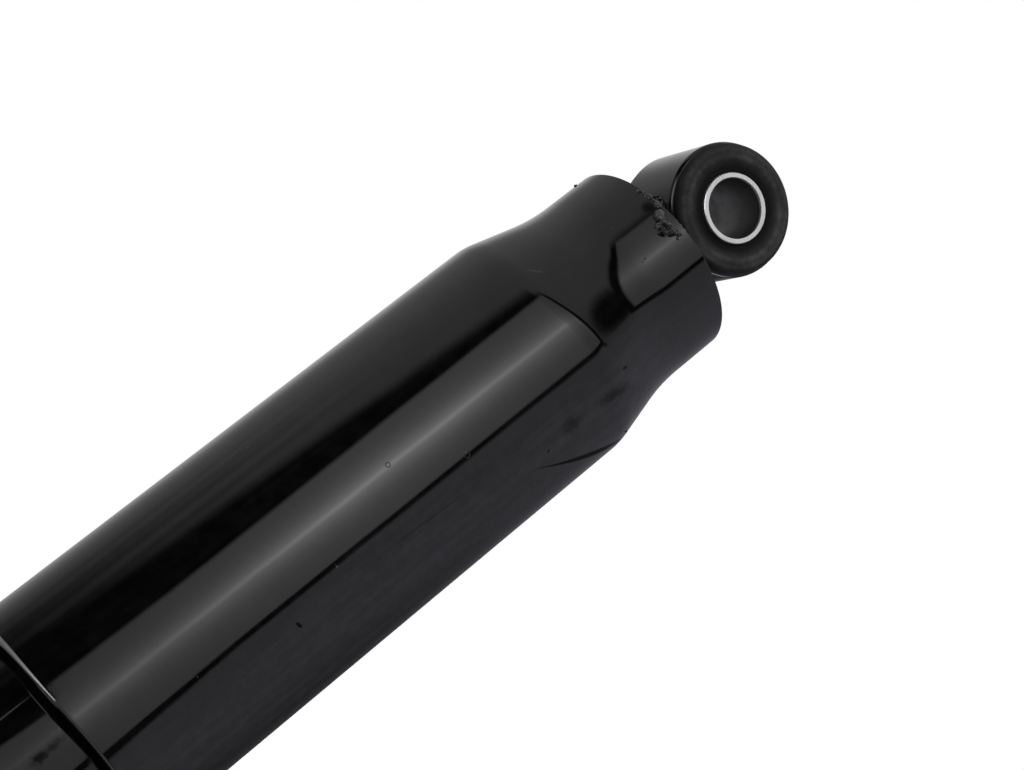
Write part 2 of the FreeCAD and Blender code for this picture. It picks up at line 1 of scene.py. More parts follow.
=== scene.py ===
"""Looks of a twin-tube shock absorber with a rubber-bushed eye at each end.

The painted tubes, the welded eyes, the moulded bushes and the turned sleeves are surfaces worked out with
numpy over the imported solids. The working pieces inside keep their solids and get finishes of their own.
Metres, where nothing else is said: the strut runs along Z, both bores lie along Y.
"""
import json
import logging
import math
from dataclasses import dataclass, field
from enum import Enum
from typing import Any, Callable, Optional, Sequence, Union

import bpy
import numpy as np
from mathutils import Matrix, Vector


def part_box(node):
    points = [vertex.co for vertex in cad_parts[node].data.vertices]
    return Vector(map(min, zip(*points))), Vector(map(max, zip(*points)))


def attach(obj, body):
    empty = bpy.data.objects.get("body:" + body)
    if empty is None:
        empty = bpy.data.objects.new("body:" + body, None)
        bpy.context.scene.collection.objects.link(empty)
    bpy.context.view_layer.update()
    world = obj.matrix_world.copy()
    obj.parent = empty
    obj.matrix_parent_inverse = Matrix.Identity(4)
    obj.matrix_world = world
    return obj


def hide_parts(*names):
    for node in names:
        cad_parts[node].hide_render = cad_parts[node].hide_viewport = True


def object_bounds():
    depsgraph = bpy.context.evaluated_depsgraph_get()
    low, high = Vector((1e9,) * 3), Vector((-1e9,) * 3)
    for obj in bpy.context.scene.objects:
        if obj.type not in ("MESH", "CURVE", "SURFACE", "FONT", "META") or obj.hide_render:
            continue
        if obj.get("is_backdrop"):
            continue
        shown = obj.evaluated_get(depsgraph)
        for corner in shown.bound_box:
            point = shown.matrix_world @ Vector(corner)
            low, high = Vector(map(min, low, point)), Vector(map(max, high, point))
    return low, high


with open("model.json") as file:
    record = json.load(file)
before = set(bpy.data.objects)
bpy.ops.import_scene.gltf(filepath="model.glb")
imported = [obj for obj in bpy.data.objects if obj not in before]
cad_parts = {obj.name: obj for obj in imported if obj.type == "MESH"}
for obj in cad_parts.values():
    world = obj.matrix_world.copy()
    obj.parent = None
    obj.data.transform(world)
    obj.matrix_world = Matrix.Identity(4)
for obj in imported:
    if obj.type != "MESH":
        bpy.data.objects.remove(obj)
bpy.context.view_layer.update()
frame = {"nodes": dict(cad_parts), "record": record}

MM = 0.001
FULL_TURN = 2 * math.pi
QUARTER_TURN = math.pi / 2
BARE_AND_HIGHLIGHT = "bare"  # vertex attribute: 1 where the paint is worn through or never reached; on the rubber bush, painted highlight in rings across the flange's face
SHADE = "shade"  # vertex attribute: painted shade on rubber, 1 deep in a hollow of the bush; on steel, 1 where it has the most oxide

Colour = tuple[float, float, float]
Span = tuple[float, float]
Operand = Union["Value", float]
Shade = Callable[["Spots"], np.ndarray]
Warp = Callable[["Spots"], tuple[np.ndarray, np.ndarray, np.ndarray]]
Triples = tuple[tuple[float, float, float], ...]

# the matt black of places that have lost their gloss, and of a line painted dark for a dark reflection
GRIME_AND_PAINTED_DARK: dict[str, Any] = {
    "Base Color": (0.004, 0.004, 0.004, 1.0),
    "Roughness": 0.8,
    "Specular IOR Level": 0.0,
}
ENAMEL_IOR = 1.5
RUBBER_IOR = 1.45
log = logging.getLogger("shock_absorber")


class Value:
    """A shader socket that takes part in Python arithmetic."""

    def __init__(self, graph: "Graph", socket: bpy.types.NodeSocket) -> None:
        """Keeps the socket and the graph that it belongs to."""
        self.graph = graph
        self.socket = socket

    def math(self, operation: str, *operands: Operand) -> "Value":
        """Adds one Math node.

        Args:
            operation: The Math node's operation.
            operands: Its inputs in order.

        Returns:
            The node's result.
        """
        return self.graph.node("ShaderNodeMath", {"operation": operation}, dict(enumerate(operands)))

    def __add__(self, other: Operand) -> "Value":
        """self + other"""
        return self.math("ADD", self, other)

    def __radd__(self, other: Operand) -> "Value":
        """other + self"""
        return self.math("ADD", other, self)

    def __sub__(self, other: Operand) -> "Value":
        """self - other"""
        return self.math("SUBTRACT", self, other)

    def __rsub__(self, other: Operand) -> "Value":
        """other - self"""
        return self.math("SUBTRACT", other, self)

    def __mul__(self, other: Operand) -> "Value":
        """self * other"""
        return self.math("MULTIPLY", self, other)

    def __rmul__(self, other: Operand) -> "Value":
        """other * self"""
        return self.math("MULTIPLY", other, self)

    def __truediv__(self, other: Operand) -> "Value":
        """self / other"""
        return self.math("DIVIDE", self, other)

    def __pow__(self, other: Operand) -> "Value":
        """self ** other"""
        return self.math("POWER", self, other)

    def __rpow__(self, other: Operand) -> "Value":
        """other ** self"""
        return self.math("POWER", other, self)

    def cosine(self) -> "Value":
        """Cosine of an angle in radians."""
        return self.math("COSINE", self)

    def size(self) -> "Value":
        """Distance from 0."""
        return self.math("ABSOLUTE", self)

    def least(self, other: Operand) -> "Value":
        """The smaller of the two."""
        return self.math("MINIMUM", self, other)

    def most(self, other: Operand) -> "Value":
        """The larger of the two."""
        return self.math("MAXIMUM", self, other)

    def toward(self, other: Operand, share: "Value") -> "Value":
        """self where the share is 0, other where it is 1, evenly between."""
        return self * (1 - share) + other * share

    def bell(self, centre: float, width: float) -> "Value":
        """A bell that is 1 at the centre: e to the minus squared distance in widths.

        Args:
            centre: Where it is highest.
            width: Distance at which it has fallen to 1 / e.

        Returns:
            The bell's height.
        """
        distance = (self - centre) / width
        return math.e ** (-1 * distance * distance)

    def step(self, low: float, high: float) -> "Value":
        """A smooth step that is 0 below low and 1 above high, or falls where low is above high.

        Args:
            low: Where the step starts.
            high: Where it ends.

        Returns:
            The step's height.
        """
        falling = low > high
        limits = {"From Min": min(low, high), "From Max": max(low, high), "Value": self}
        limits.update({"To Min": float(falling), "To Max": float(not falling)})
        return self.graph.node("ShaderNodeMapRange", {"interpolation_type": "SMOOTHSTEP"}, limits)

    def mix(self, first: Any, second: Any) -> "Value":
        """Mixes two colours by this value, from 0 to 1.

        Args:
            first: The colour or link at 0.
            second: The colour or link at 1.

        Returns:
            The mixed colour.
        """
        colours = [value if isinstance(value, Value) else (*value, 1.0) for value in (first, second)]
        settings = {"data_type": "RGBA", "clamp_factor": True}
        return self.graph.node("ShaderNodeMix", settings, {0: self, 6: colours[0], 7: colours[1]}, 2)

    def bump(self, depth: float, normal: Optional["Value"] = None) -> "Value":
        """Bends a normal by this height, from 0 to 1.

        Args:
            depth: Real height of 1.
            normal: A normal to start from.

        Returns:
            The bent normal.
        """
        inputs = {"Height": self, "Distance": depth, "Strength": 1.0}
        if normal is not None:
            inputs["Normal"] = normal
        return self.graph.node("ShaderNodeBump", {}, inputs)

    def split(self) -> list["Value"]:
        """X, Y and Z of a vector."""
        return [self.graph.node("ShaderNodeSeparateXYZ", {}, {0: self}, axis) for axis in "XYZ"]

    def drawn_out(self, share: float) -> "Value":
        """Coordinates that change by a share along the strut, to draw a pattern out along it."""
        shares = (1.0, 1.0, share)
        return self.graph.node("ShaderNodeVectorMath", {"operation": "MULTIPLY"}, {0: self, 1: shares})


class Graph:
    """Adds nodes to one material's or world's tree."""

    def __init__(self, tree: bpy.types.NodeTree) -> None:
        """Empties the tree and keeps it."""
        tree.nodes.clear()
        self.tree = tree

    def node(
        self,
        kind: str,
        settings: Optional[dict[str, Any]] = None,
        inputs: Optional[dict[Union[str, int], Any]] = None,
        output: Union[str, int] = 0,
    ) -> Value:
        """Adds one node.

        Args:
            kind: The node's type.
            settings: Attributes of the node, set first.
            inputs: Values or links by socket name or index.
            output: The socket to hand back.

        Returns:
            The chosen output.
        """
        made = self.tree.nodes.new(kind)
        for name, setting in (settings or {}).items():
            setattr(made, name, setting)
        for key, value in (inputs or {}).items():
            if isinstance(value, Value):
                self.tree.links.new(value.socket, made.inputs[key])
            else:
                made.inputs[key].default_value = value
        return Value(self, made.outputs[output]) if len(made.outputs) else Value(self, None)

    def place(self) -> Value:
        """Object coordinates."""
        return self.node("ShaderNodeTexCoord", output="Object")

    def attribute(self, name: str) -> Value:
        """A vertex attribute's value."""
        return self.node("ShaderNodeAttribute", {"attribute_name": name}, output="Fac")


@dataclass(frozen=True)
class Cloud:
    """Cloudy noise: width of its features, octaves on top of the first, and how strong these are.

    The cut is where a smooth step makes patches of it.
    """

    size: float
    detail: float = 2.0
    roughness: float = 0.5
    cut: Span = (0.0, 1.0)

    def read(self, place: Value) -> Value:
        """The noise at a place, a value about 0.5."""
        inputs = {"Vector": place, "Scale": 1 / self.size, "Detail": self.detail, "Roughness": self.roughness}
        return place.graph.node("ShaderNodeTexNoise", {"noise_dimensions": "3D"}, inputs, "Fac")

    def patches(self, place: Value) -> Value:
        """1 where the noise lies past the cut, 0 before it."""
        return self.read(place).step(*self.cut)


@dataclass(frozen=True)
class Specks:
    """Round specks in a share of a Voronoi pattern's cells, of the smallest share of the radius up to all.

    A speck is solid up to a share of its own radius, and it is held fully in a sure share of its cells.
    """

    spacing: float
    radius: float
    share: float
    smallest: float = 0.4
    solid: float = 0.6
    sure: float = 0.9

    def mask(self, place: Value) -> Value:
        """Where the specks are.

        Args:
            place: Where to read them.

        Returns:
            1 on a speck, 0 off it.
        """
        graph = place.graph
        inputs = {"Vector": place, "Scale": 1 / self.spacing}
        cell = graph.node("ShaderNodeTexVoronoi", {"feature": "F1"}, inputs, "Distance")
        pick = graph.node("ShaderNodeTexVoronoi", {"feature": "F1"}, inputs, "Color")
        chance = graph.node("ShaderNodeSeparateColor", {}, {"Color": pick}, "Red")
        extent = graph.node("ShaderNodeSeparateColor", {}, {"Color": pick}, "Green")
        reach = self.radius / self.spacing * (self.smallest + (1 - self.smallest) * extent)
        held = chance.step(1 - self.share, 1 - self.share * self.sure)
        return (cell / reach).step(1.0, self.solid) * held


@dataclass(frozen=True)
class Finish:
    """A surface finish that becomes one material."""

    name: str

    def sockets(self, graph: Graph) -> dict[str, Any]:
        """Values and links of the Principled shader's sockets."""
        raise NotImplementedError

    def dulled(self, graph: Graph) -> Optional[Value]:
        """Mask of the places that have lost their gloss, if any."""
        return None

    def material(self) -> bpy.types.Material:
        """The finish's material, made at its first use.

        Returns:
            The material: one shader, mixed with a matt black one where the finish is dulled.
        """
        made = bpy.data.materials.get(self.name)
        if made is not None:
            return made
        made = bpy.data.materials.new(self.name)
        made.use_nodes = True
        graph = Graph(made.node_tree)
        shader = graph.node("ShaderNodeBsdfPrincipled", {}, self.sockets(graph))
        mask = self.dulled(graph)
        if mask is not None:
            matt = graph.node("ShaderNodeBsdfPrincipled", {}, GRIME_AND_PAINTED_DARK)
            shader = graph.node("ShaderNodeMixShader", {}, {0: mask, 1: shader, 2: matt})
        graph.node("ShaderNodeOutputMaterial", {}, {"Surface": shader})
        return made


class MarkKind(Enum):
    """What a mark does to the paint."""

    # also a matt black line painted dark for a dark reflection
    SCUFF_AND_PAINTED_DARK = "rubbed dull and dark"
    CHIP = "scratched light"
    NIB = "a grain under the paint"
    FILM = "rubbed grey in streaks"


@dataclass(frozen=True)
class Mark:
    """One flaw in a tube's paint: an ellipse on the tube's unrolled wall, with ragged edges.

    Lengths are in millimetres and half of the whole, the height is from the tube's top, the turn and the
    slant are in degrees. A taper narrows the far end, down to the narrowest share of the width.
    """

    kind: MarkKind
    turn: float
    height: float
    width: float
    length: float
    slant: float = 0.0
    taper: float = 0.0
    ragged: float = 0.3
    strength: float = 1.0
    soft: float = 0.2
    narrowest: float = 0.05
    swing: float = 4.0
    grain: Cloud = Cloud(1.4 * MM, 3.0, 0.6)

    def mask(self, place: Value, reach: float, top: float) -> Value:
        """How much of the mark a place has.

        The place's turn times the reach, and its height, are turned by the slant and divided by the half
        width and the half length; the root of their squares is 1 on the mark's edge, and noise makes it
        ragged.

        Args:
            place: Object coordinates.
            reach: The tube's radius.
            top: Height of the tube's top.

        Returns:
            1 inside the mark, 0 outside.
        """
        across, toward, up = place.split()
        turn = across.math("ARCTAN2", across, -1 * toward)
        sideways = (turn - math.radians(self.turn)) * reach
        along = up - (top + self.height * MM)
        lean = math.radians(self.slant)
        side = sideways * math.cos(lean) - along * math.sin(lean)
        share = (sideways * math.sin(lean) + along * math.cos(lean)) / (self.length * MM)
        side = side / (self.width * MM * (1 + self.taper * share).most(self.narrowest))
        noise = self.grain.read(place) - 0.5
        apart = (side * side + share * share) ** 0.5 + self.swing * self.ragged * noise
        return apart.step(1 + self.soft, 1 - self.soft) * self.strength


@dataclass(frozen=True)
class GlossPaint(Finish):
    """Black enamel with a little orange peel, smears, dust, marks, and bare steel where it is worn."""

    marks: tuple[Mark, ...] = ()
    reach: float = 35 * MM
    top: float = 0.0
    black: Colour = (0.0012, 0.0012, 0.0013)
    dust: Colour = (0.10, 0.10, 0.105)
    film: Colour = (0.0042, 0.0041, 0.0048)
    rubbed: Colour = (0.0120, 0.0118, 0.0132)
    steel: Colour = (0.44, 0.44, 0.43)
    gloss: float = 0.035
    smear_rough: float = 0.16
    smears: Cloud = Cloud(22 * MM, 4.0, 0.62, (0.60, 0.74))
    smear_drawn: float = 0.35
    smear_grain: Cloud = Cloud(3.5 * MM, 3.0, 0.7, (0.42, 0.66))
    dust_specks: Specks = Specks(3.1 * MM, 0.30 * MM, 0.05)
    dust_share: float = 0.5
    dust_rough: float = 0.25
    tear_grain: Cloud = Cloud(1.3 * MM, 3.0, 0.65)
    tear_ragged: float = 0.35
    tear_edge: Span = (0.42, 0.58)
    steel_rough: float = 0.42
    blotches: Cloud = Cloud(9 * MM, 4.0, 0.65, (0.42, 0.66))
    blotch_share: float = 0.6
    streaks: Cloud = Cloud(2.6 * MM, 3.0, 0.6, (0.42, 0.66))
    streak_drawn: float = 0.08
    rubbed_patches: Cloud = Cloud(3.0 * MM, 4.0, 0.7, (0.40, 0.62))
    rubbed_streaks: float = 0.55
    peel: Cloud = Cloud(1.7 * MM, 1.0, 0.4)
    peel_depth: float = 0.0022 * MM
    sag: Cloud = Cloud(16 * MM, 0.0)
    sag_depth: float = 0.05 * MM
    draws: Cloud = Cloud(2.0 * MM, 2.0, 0.6)
    draws_drawn: float = 0.01
    draw_depth: float = 0.006 * MM
    nib_specks: Specks = Specks(5.0 * MM, 0.35 * MM, 0.15)
    nib_depth: float = 0.06 * MM

    def marked(self, place: Value, kind: MarkKind) -> Optional[Value]:
        """Mask of all marks of one kind.

        Args:
            place: Object coordinates.
            kind: Which marks to take.

        Returns:
            The highest mask of these marks, or nothing if there are none.
        """
        highest: Optional[Value] = None
        for mark in self.marks:
            if mark.kind is kind:
                mask = mark.mask(place, self.reach, self.top)
                highest = mask if highest is None else highest.most(mask)
        return highest

    def strewn(self, place: Value, specks: Specks, kind: MarkKind) -> Value:
        """Mask of specks and of the marks that look like them.

        Args:
            place: Object coordinates.
            specks: The specks.
            kind: Which marks to add.

        Returns:
            The higher of the two masks.
        """
        mask = specks.mask(place)
        marks = self.marked(place, kind)
        return mask if marks is None else mask.most(marks)

    def dulled(self, graph: Graph) -> Optional[Value]:
        """Mask of the scuffs and of the line painted dark for a dark reflection."""
        return self.marked(graph.place(), MarkKind.SCUFF_AND_PAINTED_DARK)

    def sockets(self, graph: Graph) -> dict[str, Any]:
        """Colour, gloss and relief from noise on Object coordinates, bare steel from the vertices.

        Args:
            graph: Where to add the nodes.

        Returns:
            The sockets by name.
        """
        place = graph.place()
        smears = self.smears.patches(place.drawn_out(self.smear_drawn))
        smears = smears * self.smear_grain.patches(place)
        dust = self.strewn(place, self.dust_specks, MarkKind.CHIP)
        nibs = self.strewn(place, self.nib_specks, MarkKind.NIB)
        ragged = self.tear_ragged * (self.tear_grain.read(place) - 0.5)
        torn = (graph.attribute(BARE_AND_HIGHLIGHT) + ragged).step(*self.tear_edge)
        streaks = self.streaks.patches(place.drawn_out(self.streak_drawn))
        filmed = self.blotch_share * self.blotches.patches(place) + (1 - self.blotch_share) * streaks
        colour = filmed.mix(self.black, self.film)
        rubbed = self.marked(place, MarkKind.FILM)
        if rubbed is not None:
            patches = (1 - self.rubbed_streaks) * self.rubbed_patches.patches(place)
            patches = self.rubbed_streaks * streaks + patches
            colour = (rubbed * patches).mix(colour, self.rubbed)
        colour = (dust * self.dust_share).mix(colour, self.dust)
        colour = torn.mix(colour, self.steel)
        rough = self.gloss + self.smear_rough * smears + self.dust_rough * dust + self.steel_rough * torn
        relief = self.peel.read(place).bump(self.peel_depth)
        relief = self.sag.read(place).bump(self.sag_depth, relief)
        draws = self.draws.read(place.drawn_out(self.draws_drawn))
        relief = draws.bump(self.draw_depth, relief)
        relief = nibs.bump(self.nib_depth, relief)
        return {
            "Base Color": colour,
            "Metallic": torn,
            "Roughness": rough,
            "IOR": ENAMEL_IOR,
            "Normal": relief,
        }


@dataclass(frozen=True)
class WeldPaint(Finish):
    """The same enamel over a weld: scaly, pitted and duller."""

    black: Colour = (0.0024, 0.0024, 0.0026)
    slag: Colour = (0.026, 0.026, 0.025)
    raw: Colour = (0.13, 0.13, 0.128)
    scale: Cloud = Cloud(0.9 * MM, 4.0, 0.6)
    scale_depth: float = 0.06 * MM
    pits: Specks = Specks(1.7 * MM, 0.32 * MM, 0.08)
    pit_depth: float = -0.20 * MM
    pit_rough: float = 0.35
    flecks: Cloud = Cloud(1.6 * MM, 3.0, 0.7, (0.53, 0.68))
    fleck_share: float = 0.7
    fleck_rough: float = 0.16
    raw_least: float = 0.35
    raw_rough: float = 0.2
    gloss: float = 0.09

    def sockets(self, graph: Graph) -> dict[str, Any]:
        """Scale and pits as relief, slag flecks and raw metal as colour.

        Args:
            graph: Where to add the nodes.

        Returns:
            The sockets by name.
        """
        place = graph.place()
        pits = self.pits.mask(place)
        slag = self.flecks.patches(place)
        relief = self.scale.read(place).bump(self.scale_depth)
        relief = pits.bump(self.pit_depth, relief)
        raw = graph.attribute(BARE_AND_HIGHLIGHT)
        colour = (slag * self.fleck_share).mix(self.black, self.slag)
        scraped = raw * (self.raw_least + (1 - self.raw_least) * slag)
        colour = scraped.mix(colour, self.raw)
        rough = self.gloss + self.fleck_rough * slag + self.pit_rough * pits + self.raw_rough * raw
        return {"Base Color": colour, "Roughness": rough, "IOR": ENAMEL_IOR, "Normal": relief}


@dataclass(frozen=True)
class MouldedRubber(Finish):
    """Matt black rubber with a fine eroded mould texture, a grey bloom in patches, painted shade in its
    hollows and a painted highlight in rings across its flange.
    """

    black: Colour = (0.018, 0.018, 0.0182)
    bloom: Colour = (0.046, 0.046, 0.047)
    # painted shade: the colour of the dish by the sleeve and of the flange's rounded edge
    deep: Colour = (0.0045, 0.0045, 0.0046)
    # painted highlight: the colour of the rings where the flange's crowned face catches the light
    rubbed: Colour = (0.075, 0.075, 0.076)
    dust: Colour = (0.16, 0.16, 0.16)
    grain: Cloud = Cloud(0.45 * MM, 3.0, 0.6)
    grain_depth: float = 0.035 * MM
    patches: Cloud = Cloud(5 * MM, 5.0, 0.65, (0.38, 0.70))
    patch_share: float = 0.75
    patch_rough: float = 0.16
    highlight_least: float = 0.25
    highlight_share: float = 0.6
    painted_shade_share: float = 0.92
    painted_shade_rough: float = 0.1
    dust_specks: Specks = Specks(2.2 * MM, 0.20 * MM, 0.16)
    dust_share: float = 0.35
    rough: float = 0.58
    shine: float = 0.14

    def sockets(self, graph: Graph) -> dict[str, Any]:
        """Grain as relief; bloom, a painted highlight on rings of the face, painted shade in the hollows and
        dust as colour.

        Args:
            graph: Where to add the nodes.

        Returns:
            The sockets by name.
        """
        place = graph.place()
        patches = self.patches.patches(place)
        # painted shade, from the vertices: darker in the dish and on the flange's edge
        painted_shade = graph.attribute(SHADE)
        # painted highlight in rings across the flange's face
        painted_highlight = graph.attribute(BARE_AND_HIGHLIGHT) * (self.highlight_least + (1 - self.highlight_least) * patches)
        colour = (patches * self.patch_share).mix(self.black, self.bloom)
        colour = (painted_highlight * self.highlight_share).mix(colour, self.rubbed)
        colour = (painted_shade * self.painted_shade_share).mix(colour, self.deep)
        colour = (self.dust_specks.mask(place) * self.dust_share).mix(colour, self.dust)
        return {
            "Base Color": colour,
            "Roughness": self.rough + self.patch_rough * patches + self.painted_shade_rough * painted_shade,
            "IOR": RUBBER_IOR,
            "Specular IOR Level": self.shine,
            "Normal": self.grain.read(place).bump(self.grain_depth),
        }


class Marks(Enum):
    """Direction of the tool marks on bare metal."""

    TURNED_ON_BORE = "rings about the bore"
    TURNED_ON_STRUT = "rings about the strut"
    NONE = "no marks"


@dataclass(frozen=True)
class BareMetal(Finish):
    """Machined or sintered metal with tool marks, stains and, where the vertices say so, dark oxide."""

    metal: Colour = (0.50, 0.50, 0.50)
    stain: Colour = (0.30, 0.29, 0.28)
    rough: float = 0.28
    marks: Marks = Marks.TURNED_ON_STRUT
    rings: Cloud = Cloud(0.25 * MM, 2.0, 0.7)
    ring_depth: float = 0.004 * MM
    ring_rough: float = 0.12
    grain: Cloud = Cloud(0.6 * MM, 3.0, 0.6)
    grain_depth: float = 0.0
    bore_height: float = 0.0
    stains: Cloud = Cloud(5 * MM, 4.0, 0.65, (0.45, 0.75))
    stain_share: float = 0.5
    stain_rough: float = 0.14
    oxide: Colour = (0.05, 0.05, 0.05)
    oxide_rough: float = 0.22

    def groove(self, place: Value) -> Value:
        """Coordinates that are constant along a tool mark.

        Args:
            place: Object coordinates.

        Returns:
            Distance from the axis, and place along it.
        """
        across, along, height = place.split()
        if self.marks is Marks.TURNED_ON_BORE:
            height = height - self.bore_height
        else:
            along, height = height, along
        radius = (across * across + height * height) ** 0.5
        return place.graph.node("ShaderNodeCombineXYZ", {}, {"X": radius, "Y": along})

    def sockets(self, graph: Graph) -> dict[str, Any]:
        """Rings or grain as relief, stains and oxide as colour.

        Args:
            graph: Where to add the nodes.

        Returns:
            The sockets by name.
        """
        place = graph.place()
        stains = self.stains.patches(place)
        relief = self.grain.read(place).bump(self.grain_depth)
        rough = self.rough + self.stain_rough * stains
        if self.marks is not Marks.NONE:
            rings = self.rings.read(self.groove(place))
            relief = rings.bump(self.ring_depth, relief)
            rough = rough + self.ring_rough * (rings - 0.5)
        # oxide, and on a sleeve's bore also painted light towards its middle
        oxide_and_painted_light = graph.attribute(SHADE)
        colour = (stains * self.stain_share).mix(self.metal, self.stain)
        colour = oxide_and_painted_light.mix(colour, self.oxide)
        rough = rough + self.oxide_rough * oxide_and_painted_light
        return {"Base Color": colour, "Metallic": 1.0, "Roughness": rough, "Normal": relief}


@dataclass(frozen=True)
class MouldedPolymer(Finish):
    """Filled plastic or smooth rubber."""

    base: Colour = (0.2, 0.16, 0.12)
    fleck: Colour = (0.1, 0.08, 0.06)
    rough: float = 0.45
    grain: Cloud = Cloud(0.5 * MM, 3.0, 0.6)
    grain_depth: float = 0.02 * MM
    flecks: Cloud = Cloud(1.4 * MM, 4.0, 0.7, (0.52, 0.70))
    fleck_rough: float = 0.15

    def sockets(self, graph: Graph) -> dict[str, Any]:
        """Flecks as colour and grain as relief.

        Args:
            graph: Where to add the nodes.

        Returns:
            The sockets by name.
        """
        place = graph.place()
        flecks = self.flecks.patches(place)
        colour = flecks.mix(self.base, self.fleck)
        relief = self.grain.read(place).bump(self.grain_depth)
        return {"Base Color": colour, "Roughness": self.rough + self.fleck_rough * flecks, "Normal": relief}


PAINT = GlossPaint("gloss_black_paint")
WELD = WeldPaint("painted_weld")
RUBBER = MouldedRubber("moulded_bush_rubber")
CHROME = BareMetal("ground_hard_chrome", (0.66, 0.67, 0.69), (0.58, 0.59, 0.61), 0.07, ring_depth=0.0008 * MM)
STEEL = BareMetal("oiled_machined_steel")
SPRING = BareMetal("tempered_spring_steel", (0.34, 0.33, 0.34), (0.20, 0.17, 0.15), 0.32, Marks.NONE)
SINTER = BareMetal(
    "sintered_iron", (0.27, 0.26, 0.25), (0.15, 0.15, 0.14), 0.5, Marks.NONE, grain_depth=0.06 * MM
)
BRONZE = BareMetal("bearing_bronze", (0.55, 0.41, 0.23), (0.36, 0.25, 0.13), 0.3)
BAND = MouldedPolymer("filled_band_plastic")
BUMPER = MouldedPolymer("bumper_plastic", (0.72, 0.69, 0.58), (0.62, 0.58, 0.47), 0.5)
SEAL = MouldedPolymer("seal_rubber_smooth", (0.014, 0.014, 0.014), (0.022, 0.022, 0.022), 0.42)

SLOT_FINISHES: dict[str, Finish] = {
    "black_paint": PAINT,
    "bush_rubber": RUBBER,
    "sleeve_steel": STEEL,
    "hard_chrome": CHROME,
    "bare_steel": STEEL,
    "spring_steel": SPRING,
    "sintered_iron": SINTER,
    "bearing_bronze": BRONZE,
    "band_plastic": BAND,
    "bumper_plastic": BUMPER,
    "seal_rubber": SEAL,
}


class Axis(Enum):
    """What a turned piece is turned about: two directions across the axis and the one along it."""

    STRUT = ((1, 0, 0), (0, 1, 0), (0, 0, 1))
    BORE = ((0, 0, 1), (1, 0, 0), (0, 1, 0))

    def carry(self, across: np.ndarray, turn: np.ndarray, along: np.ndarray) -> np.ndarray:
        """Cylinder coordinates to XYZ: across times (first cos turn + second sin turn) + along times axis.

        Args:
            across: Distance from the axis.
            turn: Angle about it, in radians.
            along: Distance along it.

        Returns:
            Points with a last dimension of three.
        """
        first, second, axis = (np.array(direction, float) for direction in self.value)
        flat = (across * np.cos(turn))[..., None] * first + (across * np.sin(turn))[..., None] * second
        return flat + along[..., None] * axis


@dataclass(frozen=True)
class Spots:
    """Places on a turned piece: distance from the axis, place along it, and turn about it in radians."""

    radius: np.ndarray
    along: np.ndarray
    turn: np.ndarray


@dataclass(frozen=True)
class Outline:
    """A closed outline beside a turned piece's axis: points and outward normals, (radius, height)."""

    points: np.ndarray
    normals: np.ndarray


def rounded_outline(corners: Sequence[tuple[float, ...]], steps: int = 8, spacing: float = 2 * MM) -> Outline:
    """Points along a closed outline whose corners may be rounded, counter-clockwise in (radius, height).

    A corner's third value is its rounding: the arc leaves the straight runs at rounding / tan(half the
    corner's angle) from the corner, and its direction turns evenly from one run's to the next one's. The
    normal is the direction turned a quarter to the right.

    Args:
        corners: (radius, height) or (radius, height, rounding) of each corner.
        steps: Spans of an arc.
        spacing: Longest span of a straight run.

    Returns:
        The outline.
    """
    spots = np.array([corner[:2] for corner in corners], float)
    roundings = np.array([corner[2] if len(corner) > 2 else 0.0 for corner in corners])
    ahead = np.roll(spots, -1, axis=0) - spots
    ahead /= np.linalg.norm(ahead, axis=1, keepdims=True)
    before = np.roll(ahead, 1, axis=0)
    cross = before[:, 0] * ahead[:, 1] - before[:, 1] * ahead[:, 0]
    bend = np.arctan2(cross, (before * ahead).sum(axis=1))
    reach = roundings * np.tan(np.abs(bend) / 2)
    heading = np.arctan2(before[:, 1], before[:, 0])
    points: list[np.ndarray] = []
    headings: list[np.ndarray] = []
    for index in range(len(corners)):
        start = spots[index] - before[index] * reach[index]
        share = np.linspace(0, 1, steps + 1)[:, None] if roundings[index] else np.zeros((1, 1))
        turned_by = bend[index] * share[:, 0]
        chord = roundings[index] * np.sign(bend[index])
        sweep = heading[index] + turned_by
        east = np.sin(sweep) - np.sin(heading[index])
        north = np.cos(heading[index]) - np.cos(sweep)
        points.append(start + chord * np.stack([east, north], axis=1))
        headings.append(sweep)
        end = spots[index] + ahead[index] * reach[index]
        following = (index + 1) % len(corners)
        stop = spots[following] - before[following] * reach[following]
        spans = max(1, math.ceil(np.linalg.norm(stop - end) / spacing))
        inner = np.linspace(0, 1, spans + 1)[1:-1, None]
        points.append(end + (stop - end) * inner)
        headings.append(np.full(len(inner), heading[index] + bend[index]))
    way = np.concatenate(headings)
    return Outline(np.concatenate(points), np.stack([np.sin(way), -np.cos(way)], axis=1))


def waves(
    points: np.ndarray, size: float, seed: int, count: int = 24, spread: Span = (0.6, 1.4)
) -> np.ndarray:
    """Smooth noise: the mean of sine waves of random direction and phase, each about as long as the size.

    Args:
        points: Where to read it, last dimension three.
        size: Wavelength.
        seed: Seed of the random draws.
        count: Number of waves.
        spread: Lowest and highest frequency, in ones per wavelength.

    Returns:
        Values about 0, mostly within -1 and 1.
    """
    draw = np.random.default_rng(seed)
    directions = draw.normal(size=(3, count))
    directions *= FULL_TURN / size * draw.uniform(*spread, count) / np.linalg.norm(directions, axis=0)
    phases = draw.uniform(0, FULL_TURN, count)
    return np.sin(points @ directions + phases).sum(axis=-1) / math.sqrt(count / 2)


def linked(name: str, data: bpy.types.ID) -> bpy.types.Object:
    """Puts a new object in the scene.

    Args:
        name: The object's name.
        data: Its mesh, camera or lamp.

    Returns:
        The new object.
    """
    made = bpy.data.objects.new(name, data)
    bpy.context.scene.collection.objects.link(made)
    return made


